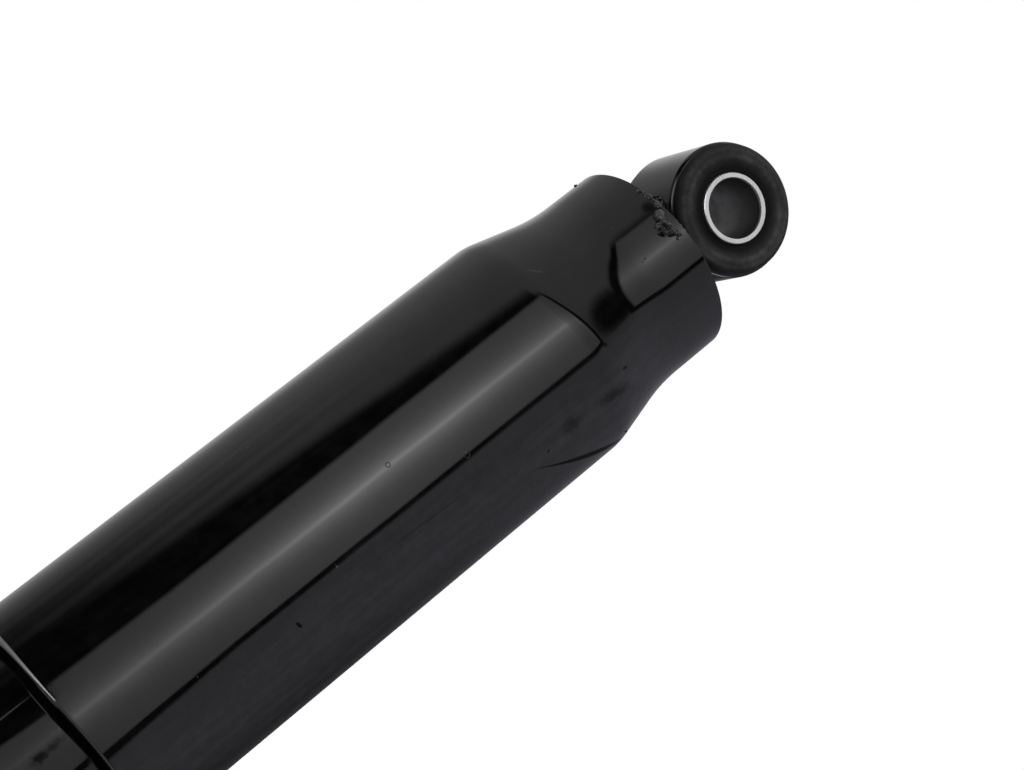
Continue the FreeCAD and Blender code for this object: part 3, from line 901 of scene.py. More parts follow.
def skin(
    name: str,
    points: np.ndarray,
    normals: Optional[np.ndarray] = None,
    capped: bool = False,
    attributes: Optional[dict[str, np.ndarray]] = None,
) -> bpy.types.Object:
    """A closed mesh over a grid of points whose columns join up, and whose rows join up or end in flat caps.

    Args:
        name: The piece's name.
        points: Grid of points, rows by columns by three.
        normals: Exact normals on the same grid.
        capped: True if the first and last rows are closed by caps, False if they join up.
        attributes: Vertex attributes on the same grid.

    Returns:
        The new object, linked to the scene.
    """
    rows, columns = points.shape[:2]
    index = np.arange(rows * columns).reshape(rows, columns)
    upper = index[1:] if capped else np.roll(index, -1, axis=0)
    lower = index[:-1] if capped else index
    quads = np.stack([lower, np.roll(lower, -1, 1), np.roll(upper, -1, 1), upper], axis=-1).reshape(-1, 4)
    spots = points.reshape(-1, 3)
    first, second, third, fourth = (spots[quads[:, corner]] for corner in range(4))
    volume = np.einsum("ij,ij->", first, np.cross(second, third) + np.cross(third, fourth))
    caps = [index[0][::-1], index[-1]] if capped else []
    if volume < 0:
        quads = quads[:, ::-1]
        caps = [cap[::-1] for cap in caps]
    corners = np.concatenate([quads.ravel(), *caps])
    totals = np.concatenate([np.full(len(quads), 4), np.full(len(caps), columns)]).astype(int)
    mesh = bpy.data.meshes.new(name)
    mesh.vertices.add(len(spots))
    mesh.vertices.foreach_set("co", spots.ravel())
    mesh.loops.add(len(corners))
    mesh.loops.foreach_set("vertex_index", corners)
    mesh.polygons.add(len(totals))
    mesh.polygons.foreach_set("loop_start", np.cumsum(totals) - totals)
    mesh.polygons.foreach_set("use_smooth", np.ones(len(totals), bool))
    for key, values in (attributes or {}).items():
        layer = mesh.attributes.new(key, "FLOAT", "POINT")
        layer.data.foreach_set("value", np.ascontiguousarray(values, float).ravel())
    mesh.update(calc_edges=True)
    if normals is not None:
        mesh.normals_split_custom_set_from_vertices(normals.reshape(-1, 3))
    return linked(name, mesh)


def turned(
    name: str,
    outline: Outline,
    axis: Axis = Axis.STRUT,
    height: float = 0.0,
    segments: int = 256,
    attributes: Optional[dict[str, Shade]] = None,
    warp: Optional[Warp] = None,
) -> bpy.types.Object:
    """A piece turned about an axis: the outline's radius goes round the axis, its height along it.

    A warp slides points along the axis. The normal's part across the axis grows by the slide's slope along
    it, and the part along it, times the slide's slope round it over the radius, is taken off sideways.

    Args:
        name: The piece's name.
        outline: The outline.
        axis: What it is turned about.
        height: Height of the axis's origin on the strut.
        segments: Spans of the full turn.
        attributes: Vertex attributes as functions of the spots.
        warp: Slide along the axis, and its slopes along and round it, as a function of the spots.

    Returns:
        The new object.
    """
    turns = np.linspace(0, FULL_TURN, segments, endpoint=False)[:, None]
    radius, along = outline.points[None, :, 0], outline.points[None, :, 1]
    across, upward = outline.normals[None, :, 0], outline.normals[None, :, 1]
    spots = Spots(radius, along, turns)
    slide, slope, twist = warp(spots) if warp else np.zeros((3, 1, 1))
    points = axis.carry(radius, turns, along + slide) + (0, 0, height)
    sideways = axis.carry(-upward * twist / radius, turns + QUARTER_TURN, np.zeros_like(along))
    normals = axis.carry(across * (1 + slope), turns, upward) + sideways
    normals /= np.linalg.norm(normals, axis=-1, keepdims=True)
    layers = {
        key: np.broadcast_to(shade(spots), points.shape[:2])
        for key, shade in (attributes or {}).items()
    }
    return skin(name, points, normals, attributes=layers)


def near(values: np.ndarray, target: float, width: Union[float, np.ndarray]) -> np.ndarray:
    """A bell round a target: exp of minus the squared distance in widths."""
    return np.exp(-(((values - target) / width) ** 2))


def wander(turns: np.ndarray, swings: Triples) -> np.ndarray:
    """Sum of sines round the turn; a swing is how often it goes up and down, its height and its phase."""
    return sum(height * np.sin(count * turns + phase) for count, height, phase in swings)


def from_front(turn: np.ndarray) -> np.ndarray:
    """A turn about the strut, in radians, as degrees from the front, positive to the right."""
    return np.mod(np.degrees(turn) + 270, 360) - 180


@dataclass
class Piece:
    """A finished piece and what it says to the frame."""

    obj: bpy.types.Object
    body: str
    slot: str
    finish: Finish
    replaced: tuple[str, ...] = ()

    def settle(self) -> None:
        """Dresses the piece and declares its body and the nodes that it stands for."""
        self.obj.data.materials.clear()
        self.obj.data.materials.append(self.finish.material())
        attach(self.obj, self.body)
        if self.replaced:
            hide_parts(*self.replaced)
        log.info("%s rides on %s in %s", self.obj.name, self.body, self.finish.name)


@dataclass
class DustCover:
    """Dust tube drawn in to a neck, and the weld that joins it to its cap."""

    wall: float = 2.0 * MM
    neck_length: float = 22.4 * MM
    shoulder_length: float = 21.7 * MM
    shoulder_rounding: float = 22.0 * MM
    neck_rounding: float = 60.0 * MM
    rim_rounding: float = 0.2 * MM
    inner_rounding: float = 0.3 * MM
    arc_steps: int = 12
    spacing: float = 3 * MM
    segments: int = 320
    dent_turn: float = -40.0
    dent_drop: float = 3.9 * MM
    dent_run: float = 20.0 * MM
    dent_start: float = 1.5 * MM
    lobe_power: int = 4
    mouth_rounding: float = 0.55 * MM
    bare_from: float = -100.0
    bare_to: float = -23.0
    bare_taper: float = 46.0
    bare_width: float = 0.7 * MM
    bare_end_width: float = 0.1 * MM
    bare_depth: float = 0.05 * MM
    bare_zone: float = 3.0 * MM
    bare_zone_points: int = 14
    mouth_turn: float = -30.0
    mouth_drop: float = 2.2 * MM
    cap_recess: float = 1.0 * MM
    cap_slope: float = 33.1
    bead_leg: float = 2.4 * MM
    bead_bulge: float = 0.75 * MM
    bead_grid: tuple[int, int] = (960, 15)
    bead_lip: float = 0.55
    bead_lean: float = 0.35
    bead_under: float = 0.6 * MM
    bead_ripples: int = 96
    bead_lag: float = 1.6
    bead_ripple: float = 0.22
    bead_wander: float = 0.12
    bead_swings: Triples = ((3, 1.0, 1.0), (7, 0.7, 2.0), (13, 0.5, 0.0))
    radius: float = field(init=False)
    mouth: float = field(init=False)
    neck_end: float = field(init=False)
    neck_inner: float = field(init=False)

    def __post_init__(self) -> None:
        """Takes the overall sizes from the frame."""
        low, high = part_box("dust_tube")
        self.radius = high.x
        self.mouth = low.z
        self.neck_end = high.z
        self.neck_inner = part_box("top_cap")[1].x

    @property
    def neck_radius(self) -> float:
        """Outer radius of the neck."""
        return self.neck_inner + self.wall

    @property
    def cap_way(self) -> np.ndarray:
        """Direction up the cap towards the strut's axis, (radius, height)."""
        slope = math.radians(self.cap_slope)
        return np.array([-math.cos(slope), math.sin(slope)])

    def tube(self) -> bpy.types.Object:
        """The tube: straight, then a cone with rounded ends, then the neck, all one wall thick.

        Returns:
            The new object.
        """
        neck_low = self.neck_end - self.neck_length
        shoulder_low = neck_low - self.shoulder_length
        slope = math.atan2(self.radius - self.neck_radius, self.shoulder_length)
        drop = self.wall * math.tan(slope / 2)
        inner = self.radius - self.wall
        zone = np.linspace(self.mouth_rounding, self.bare_zone, self.bare_zone_points)[1:]
        outline = rounded_outline(
            [
                (self.radius, self.mouth, self.mouth_rounding),
                *((self.radius, self.mouth + rise) for rise in zone),
                (self.radius, shoulder_low, self.shoulder_rounding),
                (self.neck_radius, neck_low, self.neck_rounding),
                (self.neck_radius, self.neck_end, self.rim_rounding),
                (self.neck_inner, self.neck_end, self.inner_rounding),
                (self.neck_inner, neck_low - drop, self.neck_rounding + self.wall),
                (inner, shoulder_low - drop, self.shoulder_rounding - self.wall),
                (inner, self.mouth, self.inner_rounding),
            ],
            self.arc_steps,
            self.spacing,
        )
        layers = {BARE_AND_HIGHLIGHT: self.worn}
        return turned(
            "dust_tube_painted", outline, segments=self.segments, attributes=layers, warp=self.dented
        )

    def lobe(self, turn: np.ndarray, centre: float, depth: float) -> tuple[np.ndarray, np.ndarray]:
        """A lobe round the strut: a power of the cosine of the turn from its centre, 0 on the far side.

        Args:
            turn: Turn about the strut, in radians.
            centre: Middle of the lobe, in degrees from the front.
            depth: Its height there.

        Returns:
            The height and its slope round the strut.
        """
        aside = turn + math.radians(90 - centre)
        facing = np.clip(np.cos(aside), 0, 1)
        power = self.lobe_power
        return depth * facing**power, -power * depth * facing ** (power - 1) * np.sin(aside)

    def dented(self, spots: Spots) -> tuple[np.ndarray, np.ndarray, np.ndarray]:
        """Uneven shoulder and mouth: both lie lower on one side, by a lobe round the turn.

        The shoulder's drop falls off as a smooth step above its corner, and goes over evenly into the mouth's
        drop down the straight wall.

        Args:
            spots: Places on the tube.

        Returns:
            Slide along the strut, and its slopes along the strut and round it.
        """
        corner = self.neck_end - self.neck_length - self.shoulder_length + self.dent_start
        drop, twist = self.lobe(spots.turn, self.dent_turn, self.dent_drop)
        mouth_drop, mouth_twist = self.lobe(spots.turn, self.mouth_turn, self.mouth_drop)
        above = np.clip((spots.along - corner) / self.dent_run, 0, 1)
        reach = corner - self.mouth
        below = np.clip((corner - spots.along) / reach, 0, 1)
        weight = (1 - above**2 * (3 - 2 * above)) * (1 - below)
        fading = -6 * above * (1 - above) / self.dent_run
        slope = drop * fading + (drop - mouth_drop) / reach * (below > 0)
        return -drop * weight - mouth_drop * below, -slope, -twist * weight - mouth_twist * below

    def paint(self) -> Finish:
        """The tube's paint with its scuffs, a line painted dark for a dark reflection, chips, grains and a
        rubbed side, placed from the neck's end.

        Returns:
            The finish.
        """
        scuff_and_painted_dark, chip, nib, film = MarkKind.SCUFF_AND_PAINTED_DARK, MarkKind.CHIP, MarkKind.NIB, MarkKind.FILM
        marks = (
            # painted dark reflection: a tapering matt black line on the shoulder, where the gloss reflects
            # something dark
            Mark(scuff_and_painted_dark, 48.3, -61.5, 0.85, 20.0, slant=31.5, taper=0.9, ragged=0.05, strength=0.85, soft=0.5),
            Mark(scuff_and_painted_dark, 27.6, -46.5, 1.5, 4.2, slant=10.0, ragged=0.6, strength=0.55, soft=0.9),
            Mark(scuff_and_painted_dark, 25.3, -62.8, 2.2, 2.6, slant=20.0, ragged=0.6, strength=0.45, soft=0.9),
            Mark(scuff_and_painted_dark, 20.6, -40.3, 0.5, 0.9, slant=20.0, strength=0.7),
            Mark(scuff_and_painted_dark, 28.3, -72.4, 0.5, 0.5, strength=0.6),
            Mark(scuff_and_painted_dark, 15.8, -157.3, 0.5, 1.1, slant=70.0, strength=0.9),
            Mark(scuff_and_painted_dark, 4.8, -42.8, 0.6, 0.8, slant=30.0, ragged=0.5, strength=0.8, soft=0.5),
            Mark(scuff_and_painted_dark, -19.3, -6.9, 0.5, 1.4, slant=62.0),
            Mark(scuff_and_painted_dark, -36.0, -3.4, 1.9, 2.0, strength=0.85, soft=0.6),
            Mark(scuff_and_painted_dark, -14.8, -15.5, 0.35, 0.45, strength=0.55, soft=0.4),
            Mark(scuff_and_painted_dark, -14.4, -16.8, 0.3, 0.35, strength=0.5, soft=0.4),
            Mark(scuff_and_painted_dark, 16.0, -113.0, 0.25, 12.0, slant=3.0, ragged=0.4, strength=0.3, soft=0.6),
            Mark(chip, -42.6, -43.9, 2.2, 0.25, slant=-42.0, ragged=0.7, strength=0.4, soft=0.6),
            Mark(chip, 18.5, -118.0, 0.12, 14.0, slant=-2.0, ragged=0.8, strength=0.12, soft=0.6),
            Mark(chip, 6.1, -140.7, 0.3, 0.3),
            Mark(nib, 3.8, -94.2, 0.8, 0.8, ragged=0.1),
            Mark(nib, -14.1, -113.6, 0.6, 0.6, ragged=0.1),
            Mark(nib, 17.9, -176.0, 0.6, 0.6, ragged=0.1),
            Mark(film, 36.0, -120.0, 17.0, 120.0, ragged=0.1, soft=0.4),
        )
        return GlossPaint("dust_tube_paint", marks, self.radius, self.neck_end)

    def worn(self, spots: Spots) -> np.ndarray:
        """Bare edge of the mouth: a band between two turns that narrows evenly towards the second.

        Args:
            spots: Places on the tube.

        Returns:
            1 where the steel is bare, 0 where the paint is whole.
        """
        angle = from_front(spots.turn)
        left = np.clip((self.bare_to - angle) / self.bare_taper, 0, 1)
        worn = np.where((angle > self.bare_from) & (angle < self.bare_to), 1.0, 0.0)
        outside = spots.radius > self.radius - self.bare_depth
        edge = self.mouth + self.mouth_rounding
        return worn * outside * near(spots.along, edge, self.bare_end_width + self.bare_width * left)

    def bead(self) -> bpy.types.Object:
        """Weld bead round the cap's edge: a bulging fillet whose height ripples round the turn and wanders.

        Returns:
            The new object.
        """
        round_it, over = self.bead_grid
        turns = np.linspace(0, FULL_TURN, round_it, endpoint=False)[:, None]
        across = np.linspace(0, 1, over)[None, :]
        edge = np.array([self.neck_inner, self.neck_end - self.cap_recess])
        toe_radius, toe_height = edge + self.bead_leg * self.cap_way
        lip = self.neck_inner + self.wall * self.bead_lip
        swell = np.sin(np.pi * across)
        ripple = self.bead_ripple * np.sin(self.bead_ripples * turns - self.bead_lag * swell)
        height = self.bead_bulge * swell * (1 + ripple + self.bead_wander * wander(turns, self.bead_swings))
        foot = lip + (toe_radius - lip) * across
        base = self.neck_end + (toe_height - self.neck_end) * across + 0 * turns
        radius = np.concatenate([foot + height * self.bead_lean, (foot + 0 * turns)[:, ::-1]], axis=1)
        along = np.concatenate([base + height, base[:, ::-1] - self.bead_under], axis=1)
        points = Axis.STRUT.carry(radius, turns, along)
        return skin("top_cap_weld_bead", points)

    def build(self) -> list[Piece]:
        """The cover's pieces."""
        return [
            Piece(self.tube(), "rod", "black_paint", self.paint(), ("dust_tube",)),
            Piece(self.bead(), "rod", "black_paint", WELD, ("top_cap_weld",)),
        ]


@dataclass
class Eye:
    """Welded eye with its rubber bush and steel sleeve, at one end of the strut."""

    end: str
    body: str
    sleeve_body: str
    pad_below: bool
    ring_wall: float = 3.0 * MM
    ring_rounding: float = 1.3 * MM
    ring_inner_rounding: float = 0.2 * MM
    segments: int = 224
    groove: float = 0.3 * MM
    flange_rounding: float = 1.9 * MM
    flange_back_rounding: float = 0.3 * MM
    bush_gap: float = 0.05 * MM
    bush_steps: int = 10
    bush_spacing: float = 1 * MM
    dish_depth: float = 1.2 * MM
    dish_width: float = 4.2 * MM
    dish_fade: float = 0.55
    dish_rounding: float = 6.0 * MM
    dish_edge_rounding: float = 0.2 * MM
    # share of the painted shade on the flange's rounded edge
    edge_depth: float = 0.8
    # place, width and strength of each ring of painted highlight, in shares of the face
    highlight_rings: Triples = ((0.12, 0.16, 1.0), (0.62, 0.14, 0.7))
    sleeve_wall: float = 1.55 * MM
    sleeve_chamfer: float = 0.2 * MM
    bore_chamfer: float = 0.3 * MM
    sleeve_rounding: float = 0.1 * MM
    sleeve_steps: int = 4
    sleeve_segments: int = 192
    oxide_depth: float = 0.08 * MM
    bright_depth: float = 0.6 * MM
    # share of painted light towards the middle of the bore
    backlight_share: float = 0.34
    seat: float = 1.0 * MM
    weld_leg: float = 5.5 * MM
    weld_turn: float = 49.0
    weld_bulge: float = 1.2 * MM
    weld_inset: float = 4.0 * MM
    weld_toe_depth: float = 0.3 * MM
    weld_root_depth: float = 0.5 * MM
    weld_edge_depth: float = 0.4 * MM
    weld_grid: tuple[int, int] = (220, 25)
    weld_crown: float = 0.8
    weld_ripple: float = 0.20
    weld_end_power: int = 14
    weld_end_least: float = 0.02
    weld_lumps: tuple[Span, ...] = ((3.2 * MM, 0.30 * MM), (1.3 * MM, 0.10 * MM))
    weld_seeds: tuple[int, int] = (11, 23)
    ripple_pitch: float = 1.7 * MM
    ripple_lag: float = 0.9
    radius: float = field(init=False)
    half_width: float = field(init=False)
    height: float = field(init=False)
    flange_radius: float = field(init=False)
    face: float = field(init=False)
    sleeve_radius: float = field(init=False)
    half_sleeve: float = field(init=False)

    def __post_init__(self) -> None:
        """Takes the overall sizes from the frame."""
        low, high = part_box(f"{self.end}_eye_ring")
        bush_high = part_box(f"{self.end}_bush")[1]
        sleeve_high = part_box(f"{self.end}_sleeve")[1]
        self.radius = (high.x - low.x) / 2
        self.half_width = high.y
        self.height = (low.z + high.z) / 2
        self.flange_radius = bush_high.x
        self.face = bush_high.y
        self.sleeve_radius = sleeve_high.x
        self.half_sleeve = sleeve_high.y

    def ring(self) -> bpy.types.Object:
        """Steel ring about the bore, its outer edges rounded.

        Returns:
            The new object.
        """
        inner = self.radius - self.ring_wall
        outline = rounded_outline(
            [
                (inner, -self.half_width, self.ring_inner_rounding),
                (self.radius, -self.half_width, self.ring_rounding),
                (self.radius, self.half_width, self.ring_rounding),
                (inner, self.half_width, self.ring_inner_rounding),
            ]
        )
        return turned(f"{self.end}_eye_ring_painted", outline, Axis.BORE, self.height, self.segments)

    def bush(self) -> bpy.types.Object:
        """Rubber bush: a tube with a rounded flange at each end, dished round the sleeve.

        Returns:
            The new object.
        """
        inner = self.sleeve_radius + self.bush_gap
        back = self.half_width + self.groove
        dish = self.face - self.dish_depth
        ring_inner = self.radius - self.ring_wall
        half = [
            (ring_inner, back, self.flange_back_rounding),
            (self.flange_radius, back, self.flange_back_rounding),
            (self.flange_radius, self.face, self.flange_rounding),
            (inner + self.dish_width, self.face, self.dish_rounding),
            (inner, dish, self.dish_edge_rounding),
        ]
        mirrored = [(corner[0], -corner[1], corner[2]) for corner in reversed(half)]
        outline = rounded_outline(mirrored + half, self.bush_steps, self.bush_spacing)
        # painted shade in the dish and on the flange's edge; painted highlight in rings across the face
        layers = {SHADE: self.painted_shade, BARE_AND_HIGHLIGHT: self.painted_highlight}
        return turned(f"{self.end}_bush_moulded", outline, Axis.BORE, self.height, self.segments, layers)

    def painted_shade(self, spots: Spots) -> np.ndarray:
        """Painted shade on the bush: 1 by the sleeve and on the flange's edge, 0 between.

        Args:
            spots: Places on the piece.

        Returns:
            The painted shade, which falls evenly over the dish's outer half and rises evenly over the edge.
        """
        dish = (self.sleeve_radius + self.dish_width - spots.radius) / (self.dish_width * self.dish_fade)
        edge = (spots.radius - self.flange_radius + self.flange_rounding) / self.flange_rounding
        return np.clip(np.maximum(dish, self.edge_depth * edge), 0, 1)

    def painted_highlight(self, spots: Spots) -> np.ndarray:
        """Painted highlight in rings across the flange's face, where its crown catches the light: bells
        across its face, each with its place, width and strength.

        Args:
            spots: Places on the piece.

        Returns:
            1 on a ring's middle, 0 away from it.
        """
        inner = self.sleeve_radius + self.dish_width
        face = self.flange_radius - inner
        rings = [
            strength * near(spots.radius, inner + place * face, width * face)
            for place, width, strength in self.highlight_rings
        ]
        return sum(rings)

    def sleeve(self) -> bpy.types.Object:
        """Steel sleeve with chamfered ends; its bore is dark with oxide, with painted light towards the
        middle of its length.

        Returns:
            The new object.
        """
        bore = self.sleeve_radius - self.sleeve_wall
        inset = bore + self.bore_chamfer / 2
        outset = self.sleeve_radius - self.sleeve_chamfer
        edge = self.half_sleeve - self.sleeve_chamfer
        lip = self.half_sleeve - self.bore_chamfer
        deep = self.half_sleeve - 2 * self.bright_depth
        soft = self.sleeve_rounding
        outline = rounded_outline(
            [
                (inset, -self.half_sleeve, soft),
                (outset, -self.half_sleeve, soft),
                (self.sleeve_radius, -edge, soft),
                (self.sleeve_radius, edge, soft),
                (outset, self.half_sleeve, soft),
                (inset, self.half_sleeve, soft),
                (bore, lip, soft),
                (bore, deep, soft),
                (bore, -deep, soft),
                (bore, -lip, soft),
            ],
            self.sleeve_steps,
        )
        layers = {SHADE: self.oxide_and_painted_light}
        return turned(
            f"{self.end}_sleeve_turned", outline, Axis.BORE, self.height, self.sleeve_segments, layers
        )

    def oxide_and_painted_light(self, spots: Spots) -> np.ndarray:
        """How far the bore is oxidised past its bright ends, less towards the middle of its length, where
        painted light stands for light coming in through the bore's far end.

        Args:
            spots: Places on the piece.

        Returns:
            1 where the oxide is thickest, 0 on bright steel.
        """
        bore = self.sleeve_radius - self.sleeve_wall
        inside = np.clip((bore + self.oxide_depth - spots.radius) / self.oxide_depth, 0, 1)
        # painted light: lighter towards the middle of the bore's length, as if lit through its far end
        rubbed = np.clip(1 - (spots.along / self.half_sleeve) ** 2, 0, 1) ** 2
        past_end = np.clip((self.half_sleeve - np.abs(spots.along)) / self.bright_depth - 1, 0, 1)
        return inside * past_end * (1 - self.backlight_share * rubbed)

    def sleeve_finish(self) -> Finish:
        """Turned steel with rings about this eye's bore."""
        return BareMetal(
            f"{self.end}_turned_sleeve_steel",
            metal=(0.76, 0.76, 0.76),
            stain=(0.58, 0.57, 0.56),
            rough=0.36,
            marks=Marks.TURNED_ON_BORE,
            rings=Cloud(0.22 * MM, 2.0, 0.7),
            ring_depth=0.006 * MM,
            bore_height=self.height,
            oxide=(0.065, 0.065, 0.065),
        )

    def weld_run(self, side: int, seed: int) -> bpy.types.Object:
        """One weld run along the ring: a fillet section carried along the bore.

        The section's face bulges by a half sine between its toes, times a ripple along the run that lags in
        the middle, plus lumps; it shrinks to its root over the run's rounded ends.

        Args:
            side: 1 or -1, the side of the ring.
            seed: Seed of the lumps.

        Returns:
            The new object.
        """
        pad = self.radius - self.seat
        root = np.array([math.sqrt(self.radius**2 - pad**2), pad + self.weld_root_depth])
        angle = math.radians(self.weld_turn)
        toe = (self.radius - self.weld_toe_depth) * np.array([math.sin(angle), math.cos(angle)])
        edge = np.array([root[0] + self.weld_leg, pad + self.weld_edge_depth])
        outward = (toe + edge) / 2 - root
        outward /= np.linalg.norm(outward)
        run = np.linspace(-1, 1, self.weld_grid[0])[:, None]
        share = np.linspace(0, 1, self.weld_grid[1])[None, :]
        along = (self.half_width - self.weld_inset) * run
        swell = np.sin(np.pi * share) ** self.weld_crown
        lag = self.ripple_lag * self.ripple_pitch * (1 - (2 * share - 1) ** 2)
        ripple = np.sin(FULL_TURN * (along - lag) / self.ripple_pitch)
        bulge = self.weld_bulge * swell * (1 + self.weld_ripple * ripple)
        face = toe + (edge - toe) * share[..., None] + bulge[..., None] * outward
        back = np.stack([(edge + root) / 2, root, (root + toe) / 2])
        section = np.concatenate([face, np.broadcast_to(back, (len(run), *back.shape))], axis=1)
        taper = np.sqrt(np.clip(1 - np.abs(run) ** self.weld_end_power, self.weld_end_least, 1))
        section = root + (section - root) * taper[..., None]
        length = np.broadcast_to(along, section.shape[:2])
        upward = -1 if self.pad_below else 1
        points = np.stack([side * section[..., 0], length, self.height + upward * section[..., 1]], axis=-1)
        lumps = sum(
            waves(points, size, seed + number) * height
            for number, (size, height) in enumerate(self.weld_lumps)
        )
        mask = np.concatenate([swell[0], np.zeros(len(back))])[None, :] * np.ones_like(lumps)
        push = np.stack([side * outward[0], 0.0, upward * outward[1]])
        points = points + (lumps * mask)[..., None] * push
        word = "left" if side < 0 else "right"
        return skin(f"{self.end}_eye_weld_{word}", points, capped=True)

    def build(self) -> list[Piece]:
        """Makes the ring, the bush, the sleeve and the weld run on each side of the ring.

        Returns:
            The eye's pieces.
        """
        steel = self.sleeve_finish()
        pieces = [
            Piece(self.ring(), self.body, "black_paint", PAINT, (f"{self.end}_eye_ring",)),
            Piece(self.bush(), self.body, "bush_rubber", RUBBER, (f"{self.end}_bush",)),
            Piece(self.sleeve(), self.sleeve_body, "sleeve_steel", steel, (f"{self.end}_sleeve",)),
        ]
        for side, seed in zip((-1, 1), self.weld_seeds):
            run = self.weld_run(side, seed)
            pieces.append(Piece(run, self.body, "black_paint", WELD, (f"{self.end}_eye_weld",)))
        return pieces


@dataclass(frozen=True)
class Lump:
    """A lump of weld on the neck: where it lies, its radius and how far it rises.

    The turn is in degrees from the front, the height is from the neck's end.
    """

    turn: float
    height: float
    radius: float
    rise: float


